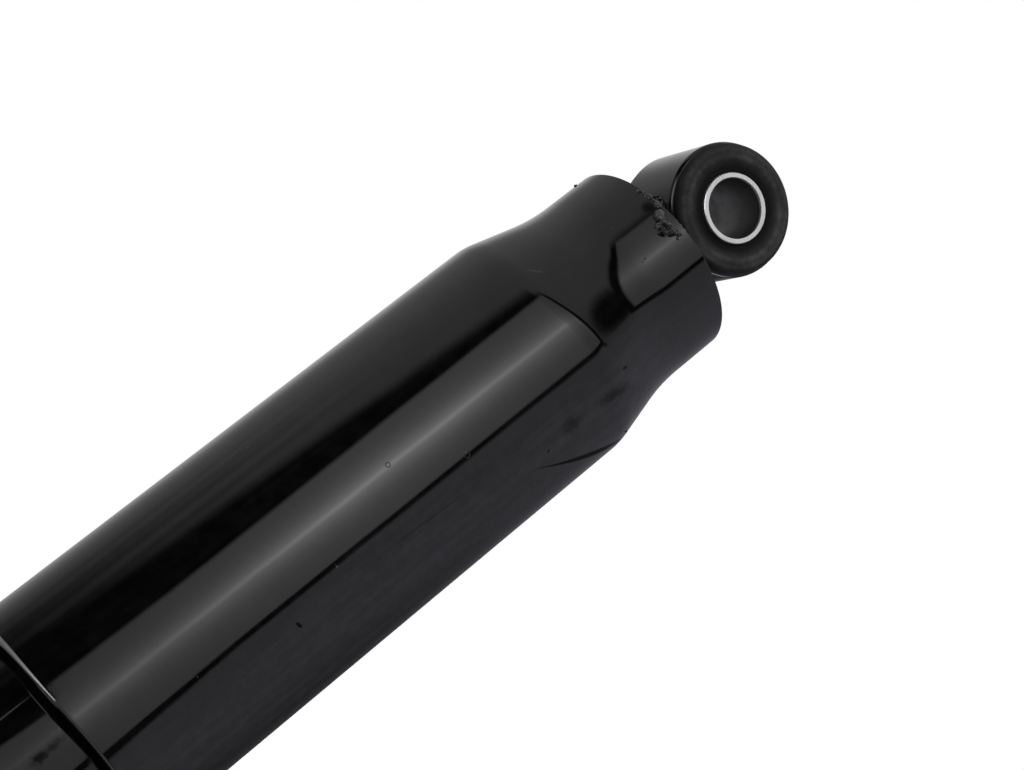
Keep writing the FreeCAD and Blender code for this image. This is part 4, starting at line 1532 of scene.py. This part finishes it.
@dataclass
class Spatter:
    """Weld that ran over the neck's rim on one side of the eye, lumpy and crumbly under its paint."""

    cover: DustCover
    first_turn: float = -54.0
    last_turn: float = -5.0
    down: float = 9.0 * MM
    over: float = 5.0 * MM
    grid: tuple[int, int] = (320, 210)
    rim_bend: float = 112.0
    sunk: float = -0.5 * MM
    under: float = 0.8 * MM
    lump_depth: float = 0.2 * MM
    uneven: Span = (2.2 * MM, 0.12)
    grain: Span = (1.1 * MM, 0.05 * MM)
    seeds: tuple[int, int] = (5, 6)
    crumbs: int = 46
    crumb_sizes: Span = (0.3 * MM, 0.8 * MM)
    crumb_rise: float = 0.7
    crumb_depth: float = 0.1 * MM
    crumb_seed: int = 5
    raw_crumb: int = 5
    raw_share: float = 0.8
    drop_grid: tuple[int, int] = (25, 40)
    drop_steepest: float = 86.0
    drop_swell: float = 0.14
    drop_wave: float = 1.6
    drop_seed: int = 9
    left_drop: Lump = Lump(-97.0, -4.4 * MM, 0.55 * MM, 0.0)
    right_drop: Lump = Lump(60.0, -43.4 * MM, 0.5 * MM, -0.5 * MM)
    crumb_turn: float = -21.2
    crumb_height: float = -4.4 * MM
    crumb_spread: Span = (1.9 * MM, 1.1 * MM)
    lumps: tuple[Lump, ...] = (
        Lump(-28.3, -2.9 * MM, 1.7 * MM, 1.75 * MM),
        Lump(-24.2, -4.2 * MM, 1.8 * MM, 1.2 * MM),
        Lump(-20.8, -4.7 * MM, 2.0 * MM, 1.3 * MM),
        Lump(-17.6, -3.9 * MM, 1.7 * MM, 1.1 * MM),
        Lump(-14.8, -2.6 * MM, 1.1 * MM, 0.8 * MM),
        Lump(-32.0, -1.0 * MM, 1.0 * MM, 0.8 * MM),
        Lump(-34.6, -0.6 * MM, 1.1 * MM, 0.9 * MM),
        Lump(-37.2, -0.9 * MM, 0.8 * MM, 0.6 * MM),
        Lump(-40.0, -0.4 * MM, 1.0 * MM, 0.8 * MM),
        Lump(-42.6, -0.8 * MM, 0.8 * MM, 0.6 * MM),
        Lump(-45.4, -0.9 * MM, 0.9 * MM, 0.6 * MM),
        Lump(-48.0, -0.5 * MM, 0.8 * MM, 0.5 * MM),
    )

    def strew(self) -> list[Lump]:
        """Crumbs of spatter, drawn about the middle of the rough patch.

        Returns:
            The crumbs.
        """
        draw = np.random.default_rng(self.crumb_seed)
        reach = math.degrees(1 / self.cover.neck_radius)
        spots = draw.normal(size=(self.crumbs, 2)) * self.crumb_spread
        sizes = draw.uniform(*self.crumb_sizes, len(spots))
        return [
            Lump(self.crumb_turn + across * reach, self.crumb_height + along, size, size)
            for (across, along), size in zip(spots.tolist(), sizes.tolist())
        ]

    def apart(self, lump: Lump, turns: np.ndarray, way: np.ndarray) -> np.ndarray:
        """Squared distance from a lump's middle along the wall, in the lump's radii.

        Args:
            lump: The lump.
            turns: Turn from the front, in radians.
            way: Distance up the wall from the rim's start.

        Returns:
            The squared distance, 1 on the lump's edge.
        """
        across = (turns - math.radians(lump.turn)) * self.cover.neck_radius
        return (across**2 + (way - lump.height - self.cover.wall / 2) ** 2) / lump.radius**2

    def drape(self, way: np.ndarray) -> tuple[np.ndarray, np.ndarray]:
        """Points at a distance along the neck's wall, over its rim and on to the cap, as (radius, height).

        The wall is straight, the rim a half circle of the wall's thickness, and the far side falls away with
        the cap.

        Args:
            way: Distance up the wall from the rim's start, negative on the wall.

        Returns:
            Points and normals.
        """
        half = self.cover.wall / 2
        most = math.radians(self.rim_bend)
        bend = np.clip(way / half, 0, most)
        beyond = np.maximum(way - most * half, 0)
        centre = self.cover.neck_radius - half
        base = self.cover.neck_end - half
        normals = np.stack([np.cos(bend), np.sin(bend)], axis=-1)
        height = base + half * np.sin(bend) + np.minimum(way, 0)
        spots = np.stack([centre + half * np.cos(bend), height], axis=-1)
        return spots + beyond[..., None] * self.cover.cap_way, normals

    def clump(self) -> bpy.types.Object:
        """The clump: the highest of half-ellipsoid lumps on a grid draped over wall and rim.

        Crumbs, half ellipsoids too, are set on the lumps or on the bare wall; one in five is raw grey metal.

        Returns:
            The new object.
        """
        turns = np.radians(np.linspace(self.first_turn, self.last_turn, self.grid[0]))[:, None]
        way = np.linspace(-self.down, self.over, self.grid[1])[None, :]
        height = np.full(np.broadcast_shapes(turns.shape, way.shape), self.sunk)
        spots, normals = self.drape(np.broadcast_to(way, height.shape))
        wall = Axis.STRUT.carry(spots[..., 0], turns, spots[..., 1])
        uneven = (1 + waves(wall, self.uneven[0], self.seeds[0]) * self.uneven[1]) ** 2
        for lump in self.lumps:
            apart = self.apart(lump, turns, way) * uneven
            cap = lump.rise * np.sqrt(np.clip(1 - apart, 0, 1))
            height = np.maximum(height, np.where(apart < 1, cap - self.lump_depth, self.sunk))
        raw = near(self.apart(self.lumps[0], turns, way), 0.0, 1.0)
        for number, crumb in enumerate(self.strew()):
            apart = self.apart(crumb, turns, way) * uneven
            cap = self.crumb_rise * crumb.rise * np.sqrt(np.clip(1 - apart, 0, 1))
            height = np.where(apart < 1, np.maximum(height, -self.crumb_depth) + cap, height)
            raw = np.where((apart < 1) & (number % self.raw_crumb == 0), self.raw_share, raw)
        grain = waves(wall, self.grain[0], self.seeds[1]) * self.grain[1]
        height = np.clip(height + grain, self.sunk, None)
        top = spots + normals * height[..., None]
        under = spots - normals * self.under
        loop = np.concatenate([top, under[:, ::-1]], axis=1)
        points = Axis.STRUT.carry(loop[..., 0], turns - QUARTER_TURN, loop[..., 1])
        layers = {BARE_AND_HIGHLIGHT: np.concatenate([raw, np.zeros_like(raw)], axis=1)}
        return skin("upper_weld_clump", points, capped=True, attributes=layers)

    def drop(self, name: str, lump: Lump, wall: float) -> bpy.types.Object:
        """A drop that froze on the wall: a ball whose radius wanders, its middle raised over the wall.

        Args:
            name: The piece's name.
            lump: Where it lies, its radius and how far its middle rises.
            wall: Distance of the wall from the strut's axis.

        Returns:
            The new object.
        """
        steepest = self.drop_steepest
        rise = np.radians(np.linspace(-steepest, steepest, self.drop_grid[0]))[:, None]
        round_it = np.linspace(0, FULL_TURN, self.drop_grid[1], endpoint=False)[None, :]
        ball = Axis.STRUT.carry(np.cos(rise), round_it, np.sin(rise) * np.ones_like(round_it))
        swell = lump.radius * (1 + self.drop_swell * waves(ball, self.drop_wave, self.drop_seed))
        angle = math.radians(lump.turn) - QUARTER_TURN
        reach = wall + lump.rise
        height = self.cover.neck_end + lump.height
        centre = np.array([reach * math.cos(angle), reach * math.sin(angle), height])
        return skin(name, centre + ball * swell[..., None], capped=True)

    def build(self) -> list[Piece]:
        """Makes two drops, which lie by themselves, and the clump.

        Returns:
            The spatter's pieces.
        """
        left = self.drop("weld_drop_left", self.left_drop, self.cover.neck_radius)
        right = self.drop("weld_drop_right", self.right_drop, self.cover.radius)
        return [Piece(made, "rod", "black_paint", WELD) for made in (self.clump(), left, right)]


@dataclass
class Reservoir:
    """Outer tube of the damper with the seam weld of its base."""

    wall: float = 1.8 * MM
    roll_reach: float = 5.0 * MM
    roll_rounding: float = 3.0 * MM
    lip_depth: float = 1.8 * MM
    seam_width: float = 5.0 * MM
    seam_bulge: float = 1.0 * MM
    seam_grid: tuple[int, int] = (880, 17)
    seam_ripples: int = 88
    seam_lag: float = 1.8
    seam_crown: float = 0.8
    seam_level: float = 0.92
    seam_ripple: float = 0.07
    seam_depth: float = 0.1 * MM
    seam_under: float = 0.6 * MM
    seam_wander: float = 0.03
    seam_swings: Triples = ((4, 1.0, 0.0), (9, 0.6, 1.0))
    edge_rounding: float = 0.25 * MM
    spacing: float = 4 * MM
    segments: int = 256
    radius: float = field(init=False)
    low: float = field(init=False)
    top: float = field(init=False)

    def __post_init__(self) -> None:
        """Takes the overall sizes from the frame."""
        low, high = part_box("reserve_tube")
        self.radius = high.x
        self.low = low.z
        self.top = high.z

    def tube(self) -> bpy.types.Object:
        """The tube, its top rolled in over the gland.

        Returns:
            The new object.
        """
        inner = self.radius - self.wall
        lip = self.radius - self.roll_reach
        fine = self.edge_rounding
        outline = rounded_outline(
            [
                (self.radius, self.low, fine),
                (self.radius, self.top, self.roll_rounding),
                (lip, self.top, fine),
                (lip, self.top - self.lip_depth, fine),
                (inner, self.top - self.lip_depth, fine),
                (inner, self.low, fine),
            ],
            spacing=self.spacing,
        )
        return turned("reserve_tube_painted", outline, segments=self.segments)

    def paint(self) -> Finish:
        """The tube's paint, rubbed dull in a patch that shows under the dust tube's mouth."""
        marks = (
            Mark(MarkKind.SCUFF_AND_PAINTED_DARK, -8.4, -203.4, 1.1, 2.4, ragged=0.5, strength=0.85, soft=0.6),
            Mark(MarkKind.SCUFF_AND_PAINTED_DARK, -8.8, -199.6, 0.8, 2.8, ragged=0.8, strength=0.6, soft=0.9),
        )
        return GlossPaint("reserve_tube_paint", marks, self.radius, self.top)

    def seam(self) -> bpy.types.Object:
        """Seam weld round the tube's foot: a half-sine crown that ripples round the turn and wanders.

        Returns:
            The new object.
        """
        round_it, over = self.seam_grid
        turns = np.linspace(0, FULL_TURN, round_it, endpoint=False)[:, None]
        across = np.linspace(0, 1, over)[None, :]
        swell = np.sin(np.pi * across)
        ripple = self.seam_ripple * np.sin(self.seam_ripples * turns - self.seam_lag * swell)
        ripple = self.seam_level + ripple
        crown = self.radius + self.seam_bulge * swell**self.seam_crown * ripple - self.seam_depth
        widening = 1 + self.seam_wander * wander(turns, self.seam_swings)
        along = self.low + self.seam_width * (across - 0.5) * widening
        radius = np.concatenate([crown, np.full_like(crown, self.radius - self.seam_under)], axis=1)
        along = np.concatenate([along, along[:, ::-1]], axis=1)
        points = Axis.STRUT.carry(radius, turns, along)
        return skin("base_seam_weld", points)

    def build(self) -> list[Piece]:
        """The reservoir's pieces."""
        return [
            Piece(self.tube(), "cylinder", "black_paint", self.paint(), ("reserve_tube",)),
            Piece(self.seam(), "cylinder", "black_paint", WELD, ("base_cap_weld",)),
        ]


@dataclass
class Works:
    """Every solid that keeps its own shape: caps, rod, piston, valves, guide and seal."""

    def dress(self, replaced: set[str]) -> None:
        """Gives each kept solid the finish of its slot.

        Args:
            replaced: Nodes that other pieces stand for.
        """
        for subpart in frame["record"]["subparts"]:
            node, slot = subpart["node"], subpart["material_slot"]
            if node in replaced:
                continue
            finish = SLOT_FINISHES[slot]
            mesh = frame["nodes"][node].data
            mesh.materials.clear()
            mesh.materials.append(finish.material())
            log.info("%s keeps its solid in %s", node, finish.name)


@dataclass
class PhotoCamera:
    """The photograph's camera: where it stands from the neck's end, and how it is turned."""

    cover: DustCover
    lens: float = 87.154
    sensor: float = 36.0
    aside: float = -143.362 * MM
    forward: float = -616.499 * MM
    below_neck_end: float = 333.839 * MM
    bearing: float = 13.408
    rise: float = 23.606
    roll: float = 51.268
    nearest: float = 10 * MM

    def build(self) -> bpy.types.Object:
        """Makes the camera and hands the scene to it.

        Returns:
            The camera.
        """
        bearing, rise, roll = (math.radians(angle) for angle in (self.bearing, self.rise, self.roll))
        flat = math.cos(rise)
        ahead = Vector((math.sin(bearing) * flat, math.cos(bearing) * flat, math.sin(rise)))
        level = Vector((math.cos(bearing), -math.sin(bearing), 0.0))
        upright = level.cross(ahead)
        right = level * math.cos(roll) + upright * math.sin(roll)
        up = upright * math.cos(roll) - level * math.sin(roll)
        data = bpy.data.cameras.new("photo_camera")
        data.sensor_width = self.sensor
        data.lens = self.lens
        data.clip_start = self.nearest
        camera = linked("photo_camera", data)
        place = Matrix((right, up, -ahead)).transposed().to_4x4()
        place.translation = (self.aside, self.forward, self.cover.neck_end - self.below_neck_end)
        camera.matrix_world = place
        bpy.context.scene.camera = camera
        return camera


@dataclass(frozen=True)
class Direction:
    """A direction of light in degrees: azimuth from the front, positive to the right, and elevation."""

    azimuth: Value
    elevation: Value


@dataclass(frozen=True)
class Patch:
    """A patch of directions with soft edges: smooth steps of azimuth and of elevation, multiplied."""

    azimuths: tuple[Span, ...] = ()
    elevations: tuple[Span, ...] = ()

    def mask(self, way: Direction) -> Value:
        """Where the patch is.

        Args:
            way: The direction.

        Returns:
            1 inside the patch, 0 outside.
        """
        steps = [way.azimuth.step(*edge) for edge in self.azimuths]
        steps += [way.elevation.step(*edge) for edge in self.elevations]
        return math.prod(steps[1:], start=steps[0])


@dataclass(frozen=True)
class Panel:
    """Large panel of light in front: its left edge leans out with height, its top is a parabola.

    It flares towards its foot, where its left side steps in and its right side out.
    """

    left: float = -44.7
    left_edge: Span = (-2.5, 2.5)
    lean: float = 0.32
    lean_from: float = 12.0
    right: float = 20.8
    right_soft: float = 1.2
    top: float = 48.0
    top_edge: Span = (1.0, -1.0)
    top_centre: float = 6.0
    top_droop: float = 0.0042
    bottom_edge: Span = (-8.0, 0.0)
    flare_slope: float = 0.8
    flare_below: float = 15.0
    flare_run: float = 8.0
    foot_edge: Span = (10.97, 10.82)
    foot_out: float = 4.5
    foot_slope: float = 3.0
    foot_start: float = 19.0
    foot_dim: float = 0.75
    glow: float = 0.56
    band_glow: float = 0.22
    band_height: float = 20.5
    band_width: float = 7.0
    lamp_azimuth: float = -14.0
    lamp_glow: float = 2.9
    lamp_blunt: float = 0.8
    lamp_high_blunt: float = 4.0
    lamp_fall: float = 9.0
    high_edge: Span = (28.0, 31.0)
    line_glow: float = 0.55
    line_aside: float = 0.4
    line_width: float = 1.8
    hot_least: float = 0.42
    hot_width: float = 5.0
    top_dim: float = 0.4
    top_dim_edge: Span = (28.0, 40.0)

    def flare(self, way: Direction) -> Value:
        """How much wider the panel gets on each side towards its foot."""
        return self.flare_slope * (self.flare_below - way.elevation).most(0.0).least(self.flare_run)

    def foot(self, way: Direction) -> Value:
        """1 at the panel's foot, 0 over it."""
        return way.elevation.step(*self.foot_edge)

    def above(self, way: Direction) -> Value:
        """Degrees above the panel's top."""
        aside = way.azimuth - self.top_centre
        return way.elevation - self.top + self.top_droop * aside * aside

    def mask(self, way: Direction) -> Value:
        """Where the panel is.

        Args:
            way: The direction.

        Returns:
            1 on the panel, 0 off it.
        """
        flare = self.flare(way)
        foot = self.foot(way)
        left = way.azimuth - self.left + self.lean * (way.elevation - self.lean_from) + flare
        left = left - foot * (self.foot_slope * way.elevation - self.foot_start).most(0.0)
        right = way.azimuth - flare - self.foot_out * foot
        right = right.step(self.right + self.right_soft, self.right - self.right_soft)
        sides = left.step(*self.left_edge) * right
        return sides * self.above(way).step(*self.top_edge) * way.elevation.step(*self.bottom_edge)

    def light(self, way: Direction) -> Value:
        """Light of the panel: an even glow with a brighter band across, and a lamp that peaks in a line.

        The lamp falls by e to the minus distance from its azimuth, blunted into a hyperbola at its peak.

        Args:
            way: The direction.

        Returns:
            The panel's glow.
        """
        elevation = way.elevation
        high = elevation.step(*self.high_edge)
        hot = self.hot_least + (1 - self.hot_least) * elevation.bell(self.band_height, self.hot_width)
        hot = hot * (1 - self.top_dim * elevation.step(*self.top_dim_edge))
        hot = hot * (1 - self.foot_dim * self.foot(way))
        aside = way.azimuth - self.lamp_azimuth
        blunt = self.lamp_blunt + self.lamp_high_blunt * high
        lamp = math.e ** ((blunt - (aside * aside + blunt**2) ** 0.5) / self.lamp_fall)
        line = way.azimuth.bell(self.lamp_azimuth + self.line_aside, self.line_width) * (1 - high)
        even = self.glow + self.band_glow * elevation.bell(self.band_height, self.band_width)
        return even + (self.lamp_glow * lamp + self.line_glow * line) * hot


@dataclass(frozen=True)
class DarkFrame:
    """Dark frame round the panel, wider on the left towards the horizon, and a soft blot over the panel."""

    panel: Panel
    depth: float = 0.97
    left: float = -54.0
    left_edge: Span = (-8.0, 7.0)
    widening_slope: float = 2.3
    widening_below: float = 27.5
    widening_run: float = 22.0
    right_edge: Span = (28.0, 24.0)
    right_flare: float = 1.9
    top_edge: Span = (6.0, 3.4)
    bottom_edge: Span = (-6.0, 1.0)
    blot: Patch = Patch(elevations=((47.0, 52.0), (72.0, 62.0)))
    blot_depth: float = 0.5
    blot_azimuth: float = 12.0
    blot_width: float = 20.0

    def mask(self, way: Direction) -> Value:
        """Depth of the frame and of the blot.

        Args:
            way: The direction.

        Returns:
            Nearly 1 in the frame, 0 outside.
        """
        widening = (self.widening_below - way.elevation).most(0.0).least(self.widening_run)
        left = (way.azimuth - self.left + self.widening_slope * widening).step(*self.left_edge)
        right = way.azimuth - self.right_flare * self.panel.flare(way)
        right = (right - self.panel.foot_out * self.panel.foot(way)).step(*self.right_edge)
        top = self.panel.above(way).step(*self.top_edge)
        border = self.depth * left * right * top * way.elevation.step(*self.bottom_edge)
        blot = self.blot_depth * way.azimuth.bell(self.blot_azimuth, self.blot_width)
        return border.most(blot * self.blot.mask(way))


@dataclass(frozen=True)
class Tent:
    """Tent of soft light: low on the left towards the horizon, dim behind on the right, bright overhead."""

    glow: float = 0.48
    low_left: Patch = Patch(((-155.0, -105.0), (-20.0, -50.0)), ((21.0, 8.0),))
    folds: Patch = Patch(((-135.0, -112.0), (-66.0, -80.0)), ((24.0, 12.0),))
    fold_glow: float = 0.16
    fold_waves: tuple[Span, Span] = ((0.52, 0.0), (0.33, 1.0))
    dip_depth: float = 0.18
    dip_azimuth: float = -145.0
    dip_width: float = 18.0
    far_left: Patch = Patch(((-150.0, -168.0),), ((10.0, 24.0),))
    far_left_glow: float = 0.45
    beyond: Patch = Patch(((165.5, 169.5),), ((2.0, 8.0),))
    beyond_glow: float = 0.8
    behind: Patch = Patch(((55.0, 130.0),))
    behind_glow: float = 0.07
    behind_rise: float = 0.16
    behind_high: Patch = Patch(elevations=((16.0, 28.0),))
    zenith: Patch = Patch(elevations=((57.0, 66.0),))
    zenith_glow: float = 1.0
    ground: Patch = Patch(elevations=((2.0, -12.0),))
    ground_glow: float = 0.25
    strip_glow: float = 1.9
    strip_azimuths: Span = (-50.0, 110.0)
    strip_edge: Span = (22.0, 12.0)

    def light(self, way: Direction) -> Value:
        """Glow of the tent; on its left hang folds, the sum of two cosines of the azimuth.

        Args:
            way: The direction.

        Returns:
            The tent's glow.
        """
        folds = sum((way.azimuth * rate + phase).cosine() for rate, phase in self.fold_waves)
        folds = self.fold_glow * folds * self.folds.mask(way)
        dip = self.dip_depth * way.azimuth.bell(self.dip_azimuth, self.dip_width)
        far_left = self.far_left_glow * self.far_left.mask(way)
        tent = self.glow * (1 - self.low_left.mask(way)) * (1 - dip + far_left + folds)
        beyond = self.beyond.mask(way)
        tent = tent.toward(self.beyond_glow, beyond)
        dim = self.behind_glow + self.behind_rise * self.behind_high.mask(way)
        tent = tent.toward(dim, self.behind.mask(way) * (1 - beyond))
        tent = tent.toward(self.zenith_glow, self.zenith.mask(way))
        return tent.toward(self.strips(way), self.ground.mask(way))

    def strips(self, way: Direction) -> Value:
        """Glow below the horizon: two soft strips, which draw lines of light on tubes seen from above."""
        asides = [(way.azimuth - centre).size() for centre in self.strip_azimuths]
        return self.ground_glow + self.strip_glow * sum(aside.step(*self.strip_edge) for aside in asides)


@dataclass
class Studio:
    """Pale floor and a tent of soft light with one large panel in front, in a dark frame."""

    panel: Panel = Panel()
    tent: Tent = Tent()
    slit: Patch = Patch(elevations=((10.6, 10.1), (4.0, 7.0)))
    slit_azimuth: float = -62.0
    slit_width: float = 0.8
    slit_glow: float = 0.9
    white: Colour = (1.0, 1.0, 1.0)
    bluish: Colour = (0.96, 0.94, 1.06)
    bluish_edge: Span = (22.0, 34.0)
    floor_radius: float = 0.42
    floor_corners: int = 96
    floor_tone: float = 0.80
    floor_fade: Span = (0.35, 0.98)
    lamp_height: float = 1.4
    lamp_size: float = 1.2
    lamp_power: float = 14.0

    def light(self) -> None:
        """World light by direction, faintly blue on the right; the camera itself sees plain white."""
        world = bpy.data.worlds.new("studio")
        bpy.context.scene.world = world
        world.use_nodes = True
        graph = Graph(world.node_tree)
        across, toward, up = graph.node("ShaderNodeTexCoord", output="Generated").split()
        to_degrees = math.degrees(1)
        azimuth = across.math("ARCTAN2", across, -1 * toward) * to_degrees
        way = Direction(azimuth, up.math("ARCSINE", up) * to_degrees)
        glow = self.tent.light(way) * (1 - DarkFrame(self.panel).mask(way))
        glow = glow.toward(self.panel.light(way), self.panel.mask(way))
        slit = azimuth.bell(self.slit_azimuth, self.slit_width) * self.slit.mask(way)
        glow = glow + self.slit_glow * slit
        colour = azimuth.step(*self.bluish_edge).mix(self.white, self.bluish)
        lit = graph.node("ShaderNodeBackground", {}, {"Color": colour, "Strength": glow})
        plain = graph.node("ShaderNodeBackground", {}, {"Color": (*self.white, 1.0), "Strength": 1.0})
        seen = graph.node("ShaderNodeLightPath", output="Is Camera Ray")
        mixed = graph.node("ShaderNodeMixShader", {}, {0: seen, 1: lit, 2: plain})
        graph.node("ShaderNodeOutputWorld", {}, {"Surface": mixed})

    def floor(self) -> bpy.types.Object:
        """Round pale floor that fades out at its rim, under the lower eye.

        Returns:
            The floor.
        """
        turns = np.linspace(0, FULL_TURN, self.floor_corners, endpoint=False)
        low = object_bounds()[0].z
        rim = np.stack([np.cos(turns), np.sin(turns), np.zeros_like(turns)], axis=1) * self.floor_radius
        mesh = bpy.data.meshes.new("floor")
        mesh.from_pydata((rim + (0, 0, low)).tolist(), [], [list(range(len(turns)))])
        made = linked("floor", mesh)
        material = bpy.data.materials.new("pale_floor")
        material.use_nodes = True
        graph = Graph(material.node_tree)
        tone = (self.floor_tone, self.floor_tone, self.floor_tone, 1.0)
        matt = graph.node("ShaderNodeBsdfDiffuse", {}, {"Color": tone})
        clear = graph.node("ShaderNodeBsdfTransparent")
        flat = graph.place().drawn_out(0.0)
        reach = graph.node("ShaderNodeVectorMath", {"operation": "LENGTH"}, {0: flat}, "Value")
        faded = reach.step(*(self.floor_radius * share for share in self.floor_fade))
        mixed = graph.node("ShaderNodeMixShader", {}, {0: faded, 1: matt, 2: clear})
        graph.node("ShaderNodeOutputMaterial", {}, {"Surface": mixed})
        mesh.materials.append(material)
        made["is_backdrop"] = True
        return made

    def lamp(self) -> None:
        """Broad lamp overhead for the floor and the matt pieces; it doesn't show in the gloss."""
        data = bpy.data.lights.new("overhead_lamp", "AREA")
        data.shape = "SQUARE"
        data.size = self.lamp_size
        data.energy = self.lamp_power
        made = linked("overhead_lamp", data)
        made.location = (0.0, 0.0, self.lamp_height)
        made.visible_glossy = False

    def build(self) -> None:
        """Floor, lamp, light and plain colour handling."""
        self.floor()
        self.lamp()
        self.light()
        bpy.context.scene.view_settings.view_transform = "Standard"


def main() -> None:
    """Builds the shock absorber's looks, the studio and the camera."""
    logging.basicConfig(level=logging.INFO, format="%(name)s: %(message)s")
    cover = DustCover()
    assemblies = [
        cover,
        Eye("upper", "rod", "upper_mount", pad_below=True),
        Eye("lower", "cylinder", "lower_mount", pad_below=False),
        Spatter(cover),
        Reservoir(),
    ]
    replaced: set[str] = set()
    for assembly in assemblies:
        for piece in assembly.build():
            piece.settle()
            replaced.update(piece.replaced)
    Works().dress(replaced)
    Studio().build()
    PhotoCamera(cover).build()


if __name__ == "__main__":
    main()
